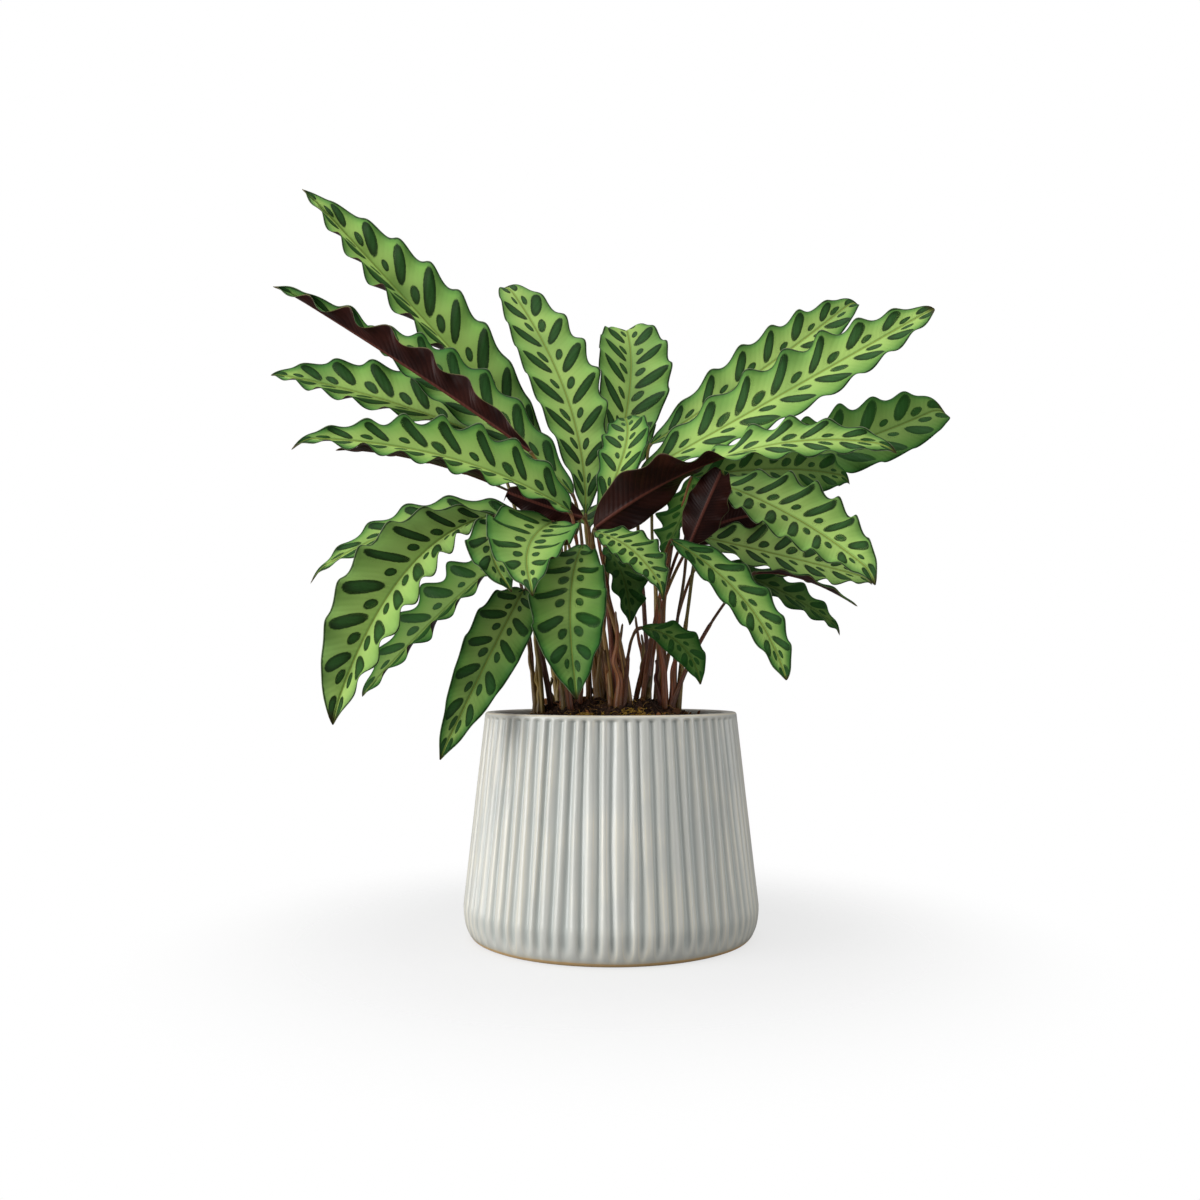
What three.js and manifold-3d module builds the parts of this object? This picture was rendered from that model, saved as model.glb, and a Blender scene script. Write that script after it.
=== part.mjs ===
// A potted calathea: a ribbed, glazed pot filled with soil, and the leafy shoots that stand in it.
// Millimetres, +Z up. The origin is the middle of the pot's foot, on the surface it stands on, and -Y is
// the front.
import * as THREE from "three";
import { mergeVertices } from "three/addons/utils/BufferGeometryUtils.js";
import Module from "manifold-3d";

const wasm = await Module();
wasm.setup();

// Pot
const POT_HEIGHT = 135;
const RIM_RADIUS = 77.7;
const BELLY_RADIUS = 90;
const BELLY_HEIGHT = 19;
const FOOT_RADIUS = 82.5;
const FOOT_CURVE_HEIGHT = 10;
const WALL = 6.5;
const FLOOR = 9;
const RIB_COUNT = 66;
const RIB_RELIEF = 1.6;
const RIB_TOP = 131;
const RIB_END = 4;
const RIB_BOTTOM = 5;
const LIP_ROUNDING = 1.2;
const INNER_SIDES = 48;
const INNER_TOP_RADIUS = RIM_RADIUS - WALL;
const CAVITY_TOP = POT_HEIGHT + 1;

// Soil
const SOIL_EDGE_HEIGHT = 124;
const SOIL_MOUND = 16;
const MOUND_TOP_SHARE = 0.35;
const CRUMB_HEIGHT = 1.4;
const CRUMB_LENGTHS = [20, 23];
const SWELL_LENGTHS = [48, 33];
const SOIL_RINGS = 6;
const SOIL_SPOKES = 32;

// Shoots
const STUB_RADIUS = 5.2;
const STUB_DEPTH = 22;
const STUB_ABOVE_SOIL = 0.5;
const PETIOLE_RADIUS = 1.6;
const PETIOLE_STEPS = 5;
const PETIOLE_SPREAD = 2.6;
const PETIOLE_SUNK = 1;
const PETIOLE_SIDES = 5;
const PETIOLE_UPRIGHT_SHARE = 0.45;
const PETIOLE_LEAN = 0.2;
const SHEATH_RADIUS = 2.5;
const SHEATH_SHARE = 0.5;
const PULVINUS = 12;

// Blades
const BLADE_THICKNESS = 0.8;
const BLADE_BASE_WIDTH = 2.6;
const BLADE_TIP_WIDTH = 0.9;
const BASE_TAPER = 0.65;
const WAVE_HEIGHT = 3.4;
const WAVE_WIDTH = 45;
const WAVE_CURL = 1.7;
const WAVE_FADE = 0.4;
const WAVE_SCALLOP = 0.05;
const VEIN_SLANT = 0.05;
const ACROSS = [-1, -0.5, 0, 0.5, 1];
const FIRST_ROW = 0.03;
const LAST_ROW = 0.98;
const MIDRIB_STEP = 0.01;
const SURFACE_STEP = 0.004;

// Two solids that touch keep this much room between them.
const GAP = 0.3;
const SIDES_OF_A_HOLE = 12;

// Where each shoot stands in the soil.
const SHOOTS = {
  left: [-42, -6],
  left_back: [-29, 19],
  left_front: [-24, -26],
  centre: [-9, 0],
  back: [-3, 32],
  front: [6, -28],
  right: [19, 6],
  right_front: [35, -13],
  right_back: [28, 31],
};

// What a leaf has where its own entry doesn't say: where along the blade its greatest width lies, how drawn
// out its tip is, how many degrees the blade is rolled about the midrib at its base, middle and tip, how
// many degrees its left and right halves fold up, and the number of waves along one edge.
const USUAL_LEAF = { widest: 0.5, taper: 0.7, roll: [0, 0, 0], fold: [12, 12], waves: 6 };

// One entry for each leaf: its shoot, the base, middle and tip of its midrib, its greatest width, and what
// is its own.
const LEAVES = [
  // Reaching up and out to the left
  { shoot: "left_back", points: [[-44, 36, 305], [-125, 58, 399], [-218, 70, 503]], width: 60,
    widest: 0.52, taper: 0.95, roll: [-50, -62, -66], fold: [50, 32], waves: 9 },
  { shoot: "centre", points: [[-50, -6, 297], [-125, -19, 347], [-208, -26, 398]], width: 28,
    roll: [0, -5, -95], fold: [70, 60], waves: 7 },
  { shoot: "centre", points: [[-24, 4, 272], [-98, 12, 341], [-166, 20, 388]], width: 44,
    widest: 0.45, taper: 0.8, roll: [-45, -55, -55], waves: 7 },
  { shoot: "left_back", points: [[-82, 40, 316], [-160, 58, 348], [-238, 72, 369]], width: 48,
    widest: 0.42, taper: 0.8, roll: [-50, -60, -60], fold: [36, 36] },
  { shoot: "left_front", points: [[-25, -22, 257], [-95, -52, 284], [-181, -74, 291]], width: 50,
    widest: 0.38, taper: 0.85, roll: [-56, -56, -60], fold: [32, 20], waves: 8 },
  { shoot: "centre", points: [[-27, 14, 256], [-102, 12, 290], [-176, 8, 302]], width: 34,
    widest: 0.6, taper: 0.8, roll: [-10, -5, 0], fold: [10, 10] },
  // Drooping to the left
  { shoot: "left_back", points: [[-50, 40, 259], [-131, 64, 261], [-211, 86, 228]], width: 34,
    widest: 0.45, taper: 0.9, roll: [-50, -60, -60], fold: [20, 12] },
  { shoot: "left", points: [[-71, -18, 255], [-120, -50, 217], [-154, -78, 134]], width: 57,
    widest: 0.58, taper: 0.65, roll: [-45, -50, -52], fold: [44, 32], waves: 8 },
  { shoot: "left", points: [[-66, 18, 232], [-107, 36, 203], [-166, 52, 144]], width: 48,
    taper: 0.65, roll: [-45, -52, -52], fold: [22, 22] },
  { shoot: "left", points: [[-53, -22, 209], [-69, -50, 172], [-95, -76, 112]], width: 38,
    widest: 0.45, roll: [-45, -55, -55], fold: [34, 16] },
  // Bending over towards the front
  { shoot: "left_front", points: [[-35, -34, 249], [-46, -84, 228], [-41, -130, 201]], width: 54,
    widest: 0.4, taper: 0.75, roll: [-20, -12, 0], fold: [26, 16], waves: 5 },
  { shoot: "left_front", points: [[-56, -46, 250], [-68, -66, 231], [-55, -88, 204]], width: 30,
    taper: 0.8, fold: [15, 15], waves: 4 },
  { shoot: "left_front", points: [[-17, -34, 235], [-23, -80, 199], [-19, -102, 148]], width: 46,
    widest: 0.55, fold: [28, 18] },
  { shoot: "front", points: [[-10, -34, 243], [12, -50, 230], [29, -66, 206]], width: 32,
    roll: [25, 25, 25] },
  { shoot: "front", points: [[-3, -14, 236], [7, -26, 216], [11, -30, 190]], width: 30,
    fold: [15, 15], waves: 4 },
  { shoot: "front", points: [[18, -26, 186], [40, -42, 176], [51, -54, 154]], width: 21,
    roll: [40, 45, 45], waves: 4 },
  // Standing up in the middle
  { shoot: "centre", points: [[-16, 12, 260], [-30, 42, 347], [-75, 78, 438]], width: 52,
    widest: 0.58, taper: 0.5, roll: [-12, -14, -14], fold: [6, 22], waves: 8 },
  { shoot: "back", points: [[-4, 36, 274], [14, 74, 357], [12, 116, 418]], width: 58,
    widest: 0.6, taper: 0.5, roll: [20, 26, 4], fold: [25, 25], waves: 7 },
  { shoot: "front", points: [[-8, -8, 255], [9, 6, 300], [10, 40, 330]], width: 33,
    widest: 0.55, taper: 0.5, fold: [14, 14], waves: 5 },
  // Reaching out to the right
  { shoot: "right_back", points: [[27, 42, 312], [109, 72, 373], [183, 104, 435]], width: 43,
    widest: 0.52, taper: 0.6, roll: [50, 60, 60], waves: 7 },
  { shoot: "right", points: [[19, 10, 286], [113, -4, 337], [202, -16, 386]], width: 50,
    widest: 0.45, taper: 0.55, roll: [50, 62, 62], fold: [12, 14], waves: 8 },
  { shoot: "right_back", points: [[54, 46, 289], [150, 68, 313], [240, 86, 350]], width: 54,
    widest: 0.6, taper: 0.4, roll: [45, 60, 64], waves: 7 },
  { shoot: "front", points: [[-10, -27, 246], [75, -54, 287], [162, -70, 287]], width: 42,
    widest: 0.36, taper: 0.65, roll: [-100, 30, 60], waves: 8 },
  { shoot: "right_back", points: [[52, 17, 285], [112, 30, 293], [161, 44, 290]], width: 44,
    roll: [55, 68, 70] },
  // Drooping to the right
  { shoot: "right_front", points: [[66, -4, 278], [109, -42, 250], [146, -80, 213]], width: 48,
    widest: 0.45, taper: 0.6, roll: [40, 50, 58], fold: [12, 28], waves: 7 },
  { shoot: "right", points: [[57, 6, 245], [111, 10, 233], [168, 16, 219]], width: 46,
    widest: 0.48, roll: [45, 50, 50] },
  { shoot: "right_front", points: [[36, -34, 238], [74, -66, 201], [94, -92, 155]], width: 28,
    widest: 0.48, taper: 0.6, roll: [40, 40, 40], fold: [12, 24] },
  { shoot: "right_back", points: [[60, 26, 231], [113, 40, 213], [155, 54, 189]], width: 30,
    taper: 0.6, roll: [45, 50, 50], waves: 5 },
  { shoot: "right", points: [[52, 2, 283], [46, -3, 260], [33, -9, 234]], width: 42, taper: 0.6, waves: 4 },
  { shoot: "right_front", points: [[88, -18, 220], [116, -23, 216], [149, -24, 199]], width: 13,
    roll: [10, 10, 20], fold: [20, 20], waves: 4 },
  // Leaning to the back, where the leaves in front hide them
  { shoot: "left_back", points: [[-36, 52, 286], [-74, 98, 318], [-118, 144, 316]], width: 44 },
  { shoot: "back", points: [[4, 56, 278], [12, 106, 330], [20, 164, 358]], width: 44 },
  { shoot: "back", points: [[-14, 56, 258], [-30, 114, 276], [-42, 170, 254]], width: 42 },
  // Showing their undersides
  { shoot: "right_front", points: [[48, -22, 237], [57, -32, 259], [67, -40, 282]], width: 26,
    widest: 0.45, taper: 0.5, roll: [-60, -60, -60], waves: 4 },
  { shoot: "right_back", points: [[48, 22, 244], [84, 24, 260], [124, 26, 262]], width: 34,
    roll: [-70, -70, -70], waves: 5 },
  { shoot: "centre", points: [[-17, -12, 255], [-41, -15, 262], [-66, -16, 271]], width: 22,
    taper: 0.6, roll: [62, 62, 62], waves: 4 },
].map((leaf) => ({ ...USUAL_LEAF, ...leaf }));

const GLAZE = new THREE.MeshStandardMaterial({ color: 0xb9bab0, roughness: 0.25 });
const EARTH = new THREE.MeshStandardMaterial({ color: 0x3a2b1f, roughness: 0.95 });
const STEM = new THREE.MeshStandardMaterial({ color: 0x6b4634, roughness: 0.6 });
const BLADE = new THREE.MeshStandardMaterial({ color: 0x9db65a, roughness: 0.5 });

// Solids --------------------------------------------------------------------------------------------------

function solidOf(geometry) {
  const bare = geometry.clone();
  bare.deleteAttribute("normal");
  bare.deleteAttribute("uv");
  const merged = mergeVertices(bare, 1e-4);
  return new wasm.Manifold(
    new wasm.Mesh({
      numProp: 3,
      vertProperties: new Float32Array(merged.attributes.position.array),
      triVerts: new Uint32Array(merged.index.array),
    }),
  );
}

function geometryOf(solid) {
  const { vertProperties, triVerts } = solid.getMesh();
  const geometry = new THREE.BufferGeometry();
  geometry.setAttribute("position", new THREE.BufferAttribute(vertProperties, 3));
  geometry.setIndex(new THREE.BufferAttribute(triVerts, 1));
  geometry.computeVertexNormals();
  return geometry;
}

// A lathe turns about Y, so it is stood up to turn about Z.
function turned(profile, sides) {
  const points = profile.map(([radius, height]) => new THREE.Vector2(radius, height));
  return new THREE.LatheGeometry(points, sides).rotateX(Math.PI / 2);
}

function uprightCylinder(radius, bottom, top, sides) {
  const cylinder = new THREE.CylinderGeometry(radius, radius, top - bottom, sides).rotateX(Math.PI / 2);
  return cylinder.translate(0, 0, (top + bottom) / 2);
}

// Pot -----------------------------------------------------------------------------------------------------

// The pot's plain radius: a quarter ellipse from the foot up to the belly, then a straight taper to the
// rim.
function potRadius(height) {
  if (height >= BELLY_HEIGHT) {
    return THREE.MathUtils.mapLinear(height, BELLY_HEIGHT, POT_HEIGHT, BELLY_RADIUS, RIM_RADIUS);
  }
  const drop = (BELLY_HEIGHT - height) / BELLY_HEIGHT;
  return FOOT_RADIUS + (BELLY_RADIUS - FOOT_RADIUS) * Math.sqrt(1 - drop * drop);
}

// Ribs rise from nothing at the foot and stop just under the plain band of the lip.
function ribShare(height) {
  const rise = THREE.MathUtils.smoothstep(height, RIB_BOTTOM, BELLY_HEIGHT);
  const stop = 1 - THREE.MathUtils.smoothstep(height, RIB_TOP - RIB_END, RIB_TOP);
  return rise * stop;
}

function pot() {
  const low = [0, RIB_BOTTOM, FOOT_CURVE_HEIGHT, BELLY_HEIGHT];
  const high = [RIB_TOP - RIB_END, RIB_TOP, POT_HEIGHT - LIP_ROUNDING];
  const outside = [...low, ...high].map((height) => [potRadius(height), height]);
  const top = RIM_RADIUS - LIP_ROUNDING;
  const body = turned([[0, 0], ...outside, [top, POT_HEIGHT], [0, POT_HEIGHT]], RIB_COUNT * 2);

  // Every second column of points is a groove: it is drawn in by the rib's relief at its height.
  const at = body.attributes.position;
  for (let i = 0; i < at.count; i += 1) {
    const [x, y, height] = [at.getX(i), at.getY(i), at.getZ(i)];
    const angle = Math.atan2(y, x);
    const groove = (1 - Math.cos(angle * RIB_COUNT)) / 2;
    const depth = Math.hypot(x, y) < RIM_RADIUS - WALL ? 0 : RIB_RELIEF * groove * ribShare(height);
    at.setXY(i, x - depth * Math.cos(angle), y - depth * Math.sin(angle));
  }

  const inside = [[0, FLOOR], [potRadius(FLOOR) - WALL, FLOOR], [BELLY_RADIUS - WALL, BELLY_HEIGHT]];
  const cavity = turned([...inside, [INNER_TOP_RADIUS, CAVITY_TOP], [0, CAVITY_TOP]], INNER_SIDES);
  return solidOf(body).subtract(solidOf(cavity));
}

function innerRadius(height) {
  return THREE.MathUtils.mapLinear(height, BELLY_HEIGHT, CAVITY_TOP, BELLY_RADIUS - WALL, INNER_TOP_RADIUS);
}

// Soil ----------------------------------------------------------------------------------------------------

// The soil heaps up towards the stems and is crumbly everywhere.
function soilHeight(x, y) {
  const share = Math.min(1, Math.hypot(x, y) / INNER_TOP_RADIUS);
  const mound = SOIL_MOUND * (1 - THREE.MathUtils.smoothstep(share, MOUND_TOP_SHARE, 1));
  const turn = 2 * Math.PI;
  const crumb = Math.sin((turn * x) / CRUMB_LENGTHS[0] + 1) * Math.cos((turn * y) / CRUMB_LENGTHS[1]);
  const swell = Math.sin((turn * x) / SWELL_LENGTHS[0] - (turn * y) / SWELL_LENGTHS[1]);
  return SOIL_EDGE_HEIGHT + mound + CRUMB_HEIGHT * (crumb + swell) * (1 - share ** 4);
}

function soil() {
  const shrink = Math.cos(Math.PI / SOIL_SPOKES);
  const radius = (innerRadius(SOIL_EDGE_HEIGHT) - GAP * 2) * shrink;
  const low = (BELLY_RADIUS - WALL - GAP * 3) * shrink;
  const foot = (potRadius(FLOOR) - WALL - GAP * 3) * shrink;
  const profile = [[0, FLOOR + GAP], [foot, FLOOR + GAP], [low, BELLY_HEIGHT]];
  for (let ring = SOIL_RINGS; ring >= 0; ring -= 1) {
    profile.push([(radius * ring) / SOIL_RINGS, SOIL_EDGE_HEIGHT]);
  }
  const heap = turned(profile, SOIL_SPOKES);
  const at = heap.attributes.position;
  for (let i = 0; i < at.count; i += 1) {
    if (at.getZ(i) > SOIL_EDGE_HEIGHT - 1) {
      at.setZ(i, soilHeight(at.getX(i), at.getY(i)));
    }
  }
  let solid = solidOf(heap);
  for (const [x, y] of Object.values(SHOOTS)) {
    const bottom = soilHeight(x, y) - STUB_DEPTH - GAP;
    const hole = uprightCylinder(STUB_RADIUS + GAP * 2, bottom, POT_HEIGHT + SOIL_MOUND, SIDES_OF_A_HOLE);
    solid = solid.subtract(solidOf(hole.translate(x, y, 0)));
  }
  return solid;
}

// Blades --------------------------------------------------------------------------------------------------

// A value that passes through its three given values at the base, the middle and the tip.
function along(values, u) {
  return values[0] * (1 - u) * (1 - 2 * u) + values[1] * 4 * u * (1 - u) + values[2] * u * (2 * u - 1);
}

function midrib(leaf, u) {
  const axis = (index) => along(leaf.points.map((point) => point[index]), u);
  return new THREE.Vector3(axis(0), axis(1), axis(2));
}

function midribDirection(leaf, u) {
  return midrib(leaf, u + MIDRIB_STEP).sub(midrib(leaf, u - MIDRIB_STEP)).normalize();
}

// The blade is a lance: it widens quickly from the stalk, stays broad, and draws in to a point.
function halfWidth(leaf, u) {
  const shift = Math.log(0.5) / Math.log(leaf.widest);
  const arch = Math.sin(Math.PI * THREE.MathUtils.clamp(u, 0, 1) ** shift);
  const share = arch ** (u < leaf.widest ? BASE_TAPER : leaf.taper);
  const least = THREE.MathUtils.lerp(BLADE_BASE_WIDTH, BLADE_TIP_WIDTH, u) / 2;
  return Math.max(least, (leaf.width / 2) * share);
}

// A point of the blade's middle surface. v runs from -1, the right edge, to 1, the left edge, seen from
// above with the tip ahead. Rows of points slant forwards from the midrib, as the side veins do.
function bladePoint(leaf, u, v) {
  const out = Math.abs(v);
  const ahead = u + VEIN_SLANT * out * Math.sin(Math.PI * u);
  const tangent = midribDirection(leaf, ahead);
  const [base, , tip] = leaf.points;
  const heading = new THREE.Vector3(tip[0] - base[0], tip[1] - base[1], 0);
  const left = new THREE.Vector3(0, 0, 1).cross(heading);
  left.addScaledVector(tangent, -left.dot(tangent)).normalize();
  left.applyAxisAngle(tangent, THREE.MathUtils.degToRad(along(leaf.roll, ahead)));
  const up = tangent.clone().cross(left);

  const fold = THREE.MathUtils.degToRad(leaf.fold[v > 0 ? 0 : 1]);
  const wave = Math.cos(2 * Math.PI * leaf.waves * u) * Math.max(0, Math.sin(Math.PI * u)) ** WAVE_FADE;
  const reach = halfWidth(leaf, ahead) * out * (1 + WAVE_SCALLOP * wave);
  const lift = WAVE_HEIGHT * (leaf.width / WAVE_WIDTH) * wave * out ** WAVE_CURL;
  const point = midrib(leaf, ahead);
  point.addScaledVector(left, Math.sign(v) * (reach * Math.cos(fold) - lift * Math.sin(fold)));
  return point.addScaledVector(up, reach * Math.sin(fold) + lift * Math.cos(fold));
}

function bladeNormal(leaf, u, v) {
  const forward = bladePoint(leaf, u + SURFACE_STEP, v).sub(bladePoint(leaf, u - SURFACE_STEP, v));
  const across = bladePoint(leaf, u, v + SURFACE_STEP).sub(bladePoint(leaf, u, v - SURFACE_STEP));
  return forward.cross(across).normalize();
}

// Rows of points stand at each crest and trough of the edge waves, with one more near the base and near the
// tip.
function bladeRows(leaf) {
  const rows = [0, FIRST_ROW];
  for (let k = 1; k < leaf.waves * 2; k += 1) {
    rows.push(k / (leaf.waves * 2));
  }
  return [...rows, LAST_ROW, 1];
}

function blade(leaf) {
  const rows = bladeRows(leaf);
  const points = [];
  const faces = [];
  const perFace = rows.length * ACROSS.length;
  for (const side of [1, -1]) {
    for (const u of rows) {
      for (const v of ACROSS) {
        const shift = (side * BLADE_THICKNESS) / 2;
        points.push(bladePoint(leaf, u, v).addScaledVector(bladeNormal(leaf, u, v), shift));
      }
    }
  }
  const top = (row, column) => row * ACROSS.length + column;
  const under = (row, column) => perFace + top(row, column);
  const quad = (a, b, c, d) => faces.push(a, b, c, a, c, d);
  const end = rows.length - 1;
  const edge = ACROSS.length - 1;

  // Both faces are split along the same diagonals, so that they never cross in the waves.
  for (let row = 0; row < end; row += 1) {
    for (let column = 0; column < edge; column += 1) {
      quad(top(row, column), top(row + 1, column), top(row + 1, column + 1), top(row, column + 1));
      quad(under(row, column), under(row, column + 1), under(row + 1, column + 1), under(row + 1, column));
    }
    quad(under(row, 0), under(row + 1, 0), top(row + 1, 0), top(row, 0));
    quad(top(row, edge), top(row + 1, edge), under(row + 1, edge), under(row, edge));
  }
  for (let column = 0; column < edge; column += 1) {
    quad(under(0, column), top(0, column), top(0, column + 1), under(0, column + 1));
    quad(top(end, column), under(end, column), under(end, column + 1), top(end, column + 1));
  }
  const geometry = new THREE.BufferGeometry().setFromPoints(points);
  geometry.setIndex(faces);
  geometry.computeVertexNormals();
  return geometry;
}

// Shoots --------------------------------------------------------------------------------------------------

// A leaf stalk rises from its shoot and bends at its top into the direction of the midrib.
function petiolePath(leaf) {
  const [x, y] = SHOOTS[leaf.shoot];
  const direction = midribDirection(leaf, 0);
  const end = midrib(leaf, 0).addScaledVector(direction, -GAP);
  const start = new THREE.Vector3(x, y, soilHeight(x, y) - PETIOLE_SUNK);
  const outward = new THREE.Vector3(end.x - x, end.y - y, 0).clampLength(0, PETIOLE_SPREAD);
  start.add(outward);
  const rise = (end.z - start.z) * PETIOLE_UPRIGHT_SHARE;
  const lift = start.clone().lerp(end, PETIOLE_LEAN).setZ(start.z + rise);
  const bend = end.clone().addScaledVector(direction, -PULVINUS);
  return new THREE.CubicBezierCurve3(start, lift, bend, end);
}

function roundSection(radius, sides) {
  const corners = [];
  for (let i = 0; i < sides; i += 1) {
    const angle = (2 * Math.PI * i) / sides;
    corners.push(new THREE.Vector2(radius * Math.cos(angle), radius * Math.sin(angle)));
  }
  return new THREE.Shape(corners);
}

// A stalk is round, sheathed and wide in its lowest part, and slim above.
function stalk(path) {
  const section = roundSection(PETIOLE_RADIUS, PETIOLE_SIDES);
  const tube = new THREE.ExtrudeGeometry(section, { steps: PETIOLE_STEPS, extrudePath: path });
  const centres = path.getSpacedPoints(PETIOLE_STEPS);
  const at = tube.attributes.position;
  for (let i = 0; i < at.count; i += 1) {
    const point = new THREE.Vector3().fromBufferAttribute(at, i);
    const distances = centres.map((centre) => centre.distanceTo(point));
    const ring = distances.indexOf(Math.min(...distances));
    const sheath = 1 - THREE.MathUtils.smoothstep(ring / PETIOLE_STEPS, 0, SHEATH_SHARE);
    const scale = THREE.MathUtils.lerp(1, SHEATH_RADIUS / PETIOLE_RADIUS, sheath);
    point.sub(centres[ring]).multiplyScalar(scale).add(centres[ring]);
    at.setXYZ(i, point.x, point.y, point.z);
  }
  return tube;
}

function shoot(name) {
  const [x, y] = SHOOTS[name];
  const ground = soilHeight(x, y);
  const stub = uprightCylinder(STUB_RADIUS, ground - STUB_DEPTH, ground + STUB_ABOVE_SOIL, SIDES_OF_A_HOLE);
  let solid = solidOf(stub.translate(x, y, 0));
  for (const leaf of LEAVES.filter((each) => each.shoot === name)) {
    solid = solid.add(solidOf(stalk(petiolePath(leaf))));
  }
  return solid;
}

// The plant -----------------------------------------------------------------------------------------------

const plant = new THREE.Group();

function place(name, geometry, material) {
  const mesh = new THREE.Mesh(geometry, material);
  mesh.name = name;
  plant.add(mesh);
}

place("pot", geometryOf(pot()), GLAZE);
place("soil", geometryOf(soil()), EARTH);
for (const name of Object.keys(SHOOTS)) {
  place(`shoot_${name}`, geometryOf(shoot(name)), STEM);
}
LEAVES.forEach((leaf, index) => {
  place(`leaf_${String(index + 1).padStart(2, "0")}`, blade(leaf), BLADE);
});

export default plant;
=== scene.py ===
# %% [markdown]
# # A potted calathea
#
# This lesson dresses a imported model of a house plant: a ribbed, glazed pot, its soil, and slim stalks that
# each carry one long, wavy, spotted blade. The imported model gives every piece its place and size, in
# metres, with +Z up. The script makes a finer mesh for each piece, by rules that Geometry Nodes work out,
# and paints it with shader nodes. Sizes are written in millimetres and turned to metres where a mesh is
# made.

# %% Load the frame
import math
import random
from collections import namedtuple

import bpy
import numpy as np
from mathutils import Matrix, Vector


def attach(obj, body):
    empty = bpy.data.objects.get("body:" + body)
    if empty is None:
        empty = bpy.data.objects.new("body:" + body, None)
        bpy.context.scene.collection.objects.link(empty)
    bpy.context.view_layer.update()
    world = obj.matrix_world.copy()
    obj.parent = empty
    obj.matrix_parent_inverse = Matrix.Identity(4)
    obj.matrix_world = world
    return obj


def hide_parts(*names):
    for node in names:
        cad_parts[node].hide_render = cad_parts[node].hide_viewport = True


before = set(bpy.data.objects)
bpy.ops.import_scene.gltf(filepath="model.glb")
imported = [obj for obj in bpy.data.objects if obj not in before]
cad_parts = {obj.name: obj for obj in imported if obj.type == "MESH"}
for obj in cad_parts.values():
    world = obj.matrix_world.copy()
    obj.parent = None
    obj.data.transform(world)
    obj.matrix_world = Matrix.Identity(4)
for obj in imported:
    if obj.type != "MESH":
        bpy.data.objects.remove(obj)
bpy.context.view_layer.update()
MM = 0.001
TURN = 2 * math.pi
print("nodes in the frame:", len(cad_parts))

# %% [markdown]
# ## Formulas that write nodes
#
# A rule such as "the blade is widest near its middle" becomes a chain of small math nodes, which is hard to
# read where the nodes are placed one by one. So a `Field` stands for the output of a node: adding two
# fields places an Add node, and so on, in a geometry tree and in a material alike. `Directed` does it for
# vectors.


# %% Fields
def plug(value, socket):
    if isinstance(value, Field):
        value.tree.links.new(value.socket, socket)
    else:
        socket.default_value = value


def node(tree, kind, inputs=None, **settings):
    """Place a node, set its options, and fill its inputs with fields or plain values."""
    made = tree.nodes.new(kind)
    for name, value in settings.items():
        setattr(made, name, value)
    for key, value in (inputs or {}).items():
        plug(value, made.inputs[key])
    return made


def field(tree, kind, inputs=None, output=0, **settings):
    return Field(tree, node(tree, kind, inputs, **settings).outputs[output])


def directed(tree, kind, inputs=None, output=0, **settings):
    return Directed(tree, node(tree, kind, inputs, **settings).outputs[output])


class Field:
    """The output of a node, which can be reckoned with."""

    kind = "ShaderNodeMath"

    def __init__(self, tree, socket):
        self.tree = tree
        self.socket = socket

    def apply(self, operation, *others):
        made = node(self.tree, self.kind, dict(enumerate((self, *others))), operation=operation)
        return type(self)(self.tree, made.outputs[0])

    def __rsub__(self, other):
        return field(self.tree, self.kind, {0: other, 1: self}, operation="SUBTRACT")

    def between(self, low, high, first=0.0, last=1.0, smooth=True):
        """Go from first to last while the field goes from low to high, and stay there outside."""
        kind = "SMOOTHSTEP" if smooth else "LINEAR"
        ends = {"Value": self, "From Min": low, "From Max": high, "To Min": first, "To Max": last}
        return field(self.tree, "ShaderNodeMapRange", ends, interpolation_type=kind)


class Directed(Field):
    """A vector output of a node."""

    kind = "ShaderNodeVectorMath"

    def times(self, share):
        return directed(self.tree, self.kind, {0: self, "Scale": share}, operation="SCALE")

    def dot(self, other):
        return field(self.tree, self.kind, {0: self, 1: other}, "Value", operation="DOT_PRODUCT")

    def length(self):
        return field(self.tree, self.kind, {0: self}, "Value", operation="LENGTH")

    def part(self, axis):
        return field(self.tree, "ShaderNodeSeparateXYZ", {0: self}, axis)


def formula(operation):
    return lambda first, *others: first.apply(operation, *others)


OPERATIONS = {
    "__add__": "ADD", "__radd__": "ADD", "__sub__": "SUBTRACT", "__mul__": "MULTIPLY", "__rmul__": "MULTIPLY",
    "__truediv__": "DIVIDE", "__pow__": "POWER", "sin": "SINE", "cos": "COSINE", "size": "ABSOLUTE",
    "floor": "FLOOR", "root": "SQRT", "sign": "SIGN", "exp": "EXPONENT", "log": "LOGARITHM",
    "least": "MINIMUM", "most": "MAXIMUM", "over": "GREATER_THAN", "cross": "CROSS_PRODUCT",
    "unit": "NORMALIZE",
}
for method, operation in OPERATIONS.items():
    setattr(Field, method, formula(operation))


def vector(*parts):
    """A vector of three numbers, at least one of which is a field."""
    tree = next(part.tree for part in parts if isinstance(part, Field))
    return directed(tree, "ShaderNodeCombineXYZ", dict(zip("XYZ", parts)))


def noise(place, scale, detail=2.0, roughness=0.5):
    """Smooth noise from 0 to 1, with features about 1 / scale across."""
    inputs = {"Vector": place, "Scale": scale, "Detail": detail, "Roughness": roughness}
    return field(place.tree, "ShaderNodeTexNoise", inputs)


def chance(*parts):
    """A number from 0 to 1 that is the same wherever the three parts are the same."""
    place = vector(*parts)
    return field(place.tree, "ShaderNodeTexWhiteNoise", {"Vector": place}, "Value", noise_dimensions="3D")


print("field operations:", len(OPERATIONS))

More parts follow.
